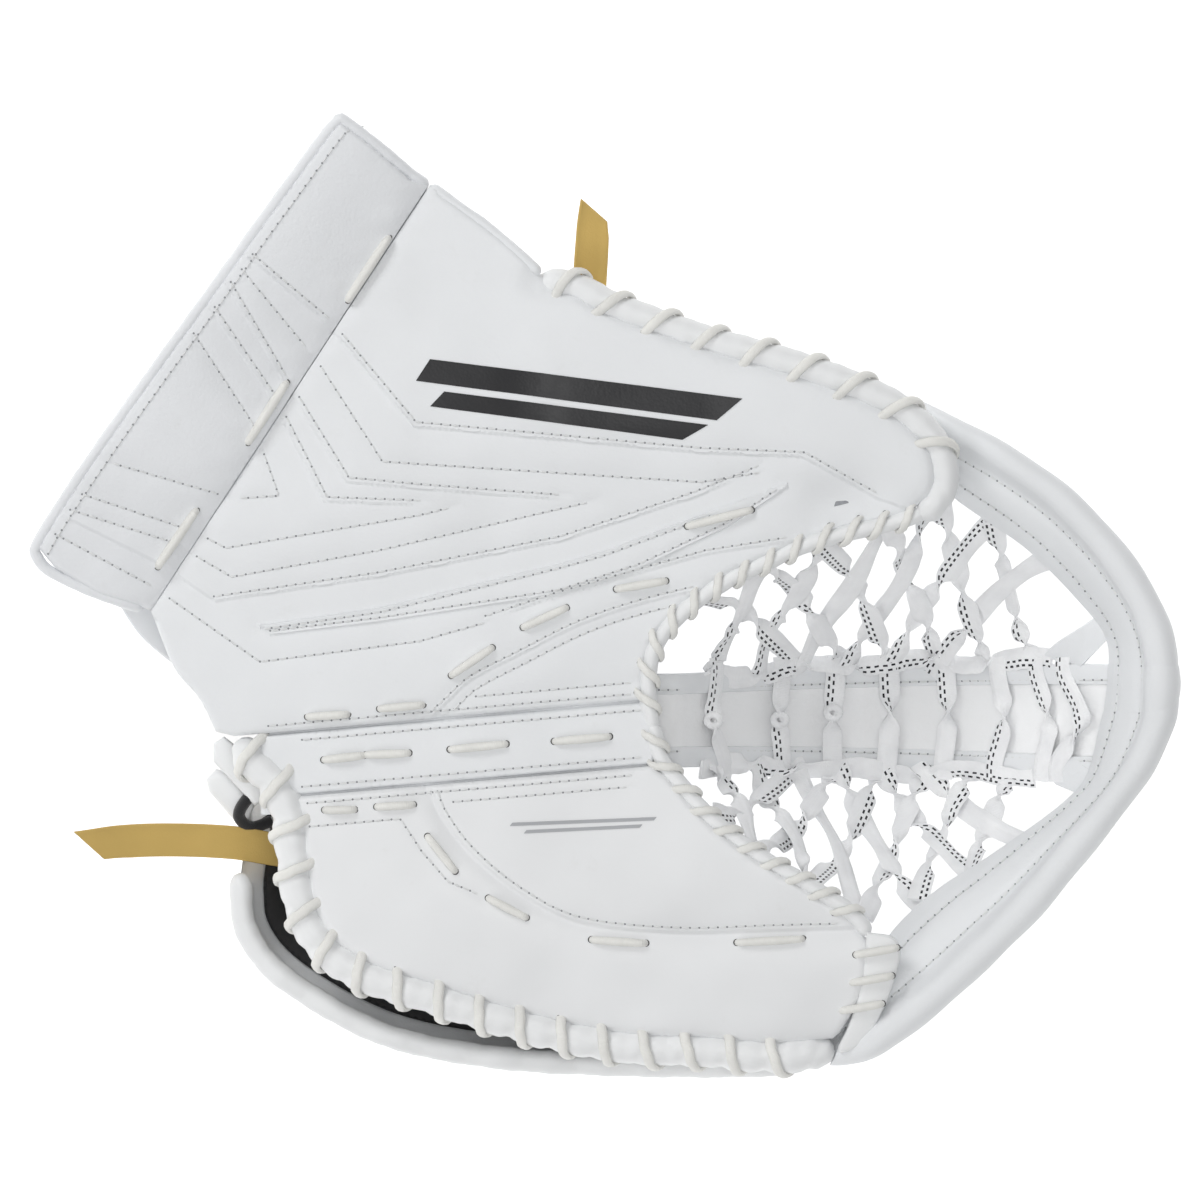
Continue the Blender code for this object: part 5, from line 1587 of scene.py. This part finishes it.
def strap(name, line, halves, side, body, tip_lean):
    """A suede strap with rounded edges, a sewn border and a slanted tip."""
    line, halves = np.asarray(line, float), np.asarray(halves, float)
    step = resample(np.column_stack([line, halves]), 2.0)
    knots = curve(line, 2.0)
    halves = np.interp(np.linspace(0, 1, len(knots)), np.linspace(0, 1, len(step)), step[:, 3])
    run = unit(np.gradient(knots, axis=0))
    across = unit(side - run * (run @ side)[:, None])
    rise = np.cross(run, across)
    rise *= np.sign(rise[:, 2:3] + 1e-9)
    xs = np.array([-1, -0.97, -0.86, -0.8, -0.3, 0.3, 0.8, 0.86, 0.97, 1, 0.97, 0.8, -0.8, -0.97])
    zs = np.array([0, 0.8, 1.0, 0.8, 1, 1, 0.8, 1.0, 0.8, 0, -0.8, -1, -1, -0.8]) * 0.95
    rows = []
    for i in range(len(knots)):
        lean = tip_lean * smooth((i / (len(knots) - 1) - 0.8) / 0.2)
        rows.append(knots[i] + across[i] * (xs * halves[i])[:, None] + rise[i] * zs[:, None]
                    + run[i] * (xs * lean)[:, None])
    shape = Shape()
    shape.grid(np.array(rows))
    put(shape.make(f"{name}.look", [TAN], 50), body, "tan_strap", name)


hand_middle = np.array([-92, -95.5, 16.0])
hand_run = unit(np.array([-1, 0.14, 0]))
hand_line = [hand_middle + hand_run * d for d in (-30, 0, 8)] + [
    (-111, -91.5, 20), (-121, -89.5, 25), (-131, -87.6, 29), (-145, -86.6, 31), (-160, -86.4, 32),
    (-172, -87, 32), (-184, -88.4, 31)]
strap("hand_strap", hand_line, [6] * 9 + [5.6], np.array([0.0, 1.0, 0]), "hand_strap", 5.0)
thumb_middle = np.array([-5.5, 84, 51.4])
thumb_run = unit(np.array([0.06, 0.94, 0.34]))
strap("thumb_strap", [thumb_middle + thumb_run * d for d in (-16, 0, 20, 40, 50, 57)],
      [6, 6, 6, 6, 5.8, 5.0], np.array([1.0, -0.06, 0]), "thumb_strap", -4.0)

# ------------------------------------------------------------------ carried-over CAD nodes
for name, paint in {"thumb_foam": FOAM, "finger_foam": FOAM, "cuff_foam": FOAM,
                    "thumb_board": BOARD, "finger_board": BOARD,
                    "hand_strap_keeper": STEEL, "thumb_strap_keeper": STEEL}.items():
    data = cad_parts[name].data
    data.materials.clear()
    data.materials.append(paint)

# ------------------------------------------------------------------ floor, light and camera
FLOOR_Z = -0.0012
GLOVE_MIDDLE = (0, 0, 0.04)
CAMERA_Z = 2.072
floor_mesh = bpy.data.meshes.new("studio_floor")
floor_corners = [(x, y, FLOOR_Z) for x, y in ((-3, -3), (3, -3), (3, 3), (-3, 3))]
floor_mesh.from_pydata(floor_corners, [], [(0, 1, 2, 3)])
floor = bpy.data.objects.new("studio_floor", floor_mesh)
bpy.context.scene.collection.objects.link(floor)
floor_paint, floor_tree, floor_shader = nodes_of("studio_floor")
feed(floor_tree, floor_shader, {"Base Color": (0.93, 0.93, 0.93, 1), "Roughness": 0.9,
                                "Emission Color": (1, 1, 1, 1), "Emission Strength": 0.55})
floor_mesh.materials.append(floor_paint)

world = bpy.data.worlds.new("studio")
world.use_nodes = True
feed(world.node_tree, world.node_tree.nodes["Background"], {"Color": (1, 1, 1, 1), "Strength": 0.385})
bpy.context.scene.world = world


def softbox(name, at, size, power):
    """A square area lamp aimed at the glove."""
    lamp = bpy.data.lights.new(name, "AREA")
    lamp.shape = "RECTANGLE"
    lamp.size = lamp.size_y = size
    lamp.energy = power
    made = bpy.data.objects.new(name, lamp)
    made.location = at
    made.rotation_euler = (Vector(GLOVE_MIDDLE) - Vector(at)).to_track_quat("-Z", "Y").to_euler()
    bpy.context.scene.collection.objects.link(made)


softbox("key", (-0.85, 1.05, 1.1), 0.6, 8)
softbox("fill", (-0.9, -1.0, 1.2), 1.0, 6)
softbox("overhead", (0.1, 0.0, 2.6), 1.0, 13)

camera_data = bpy.data.cameras.new("camera")
camera_data.lens = 170
camera_data.sensor_width = 36
camera_data.clip_end = 20
camera = bpy.data.objects.new("camera", camera_data)
camera.location = (0, 0, CAMERA_Z)
bpy.context.scene.collection.objects.link(camera)
bpy.context.scene.camera = camera
bpy.context.scene.view_settings.view_transform = "Standard"
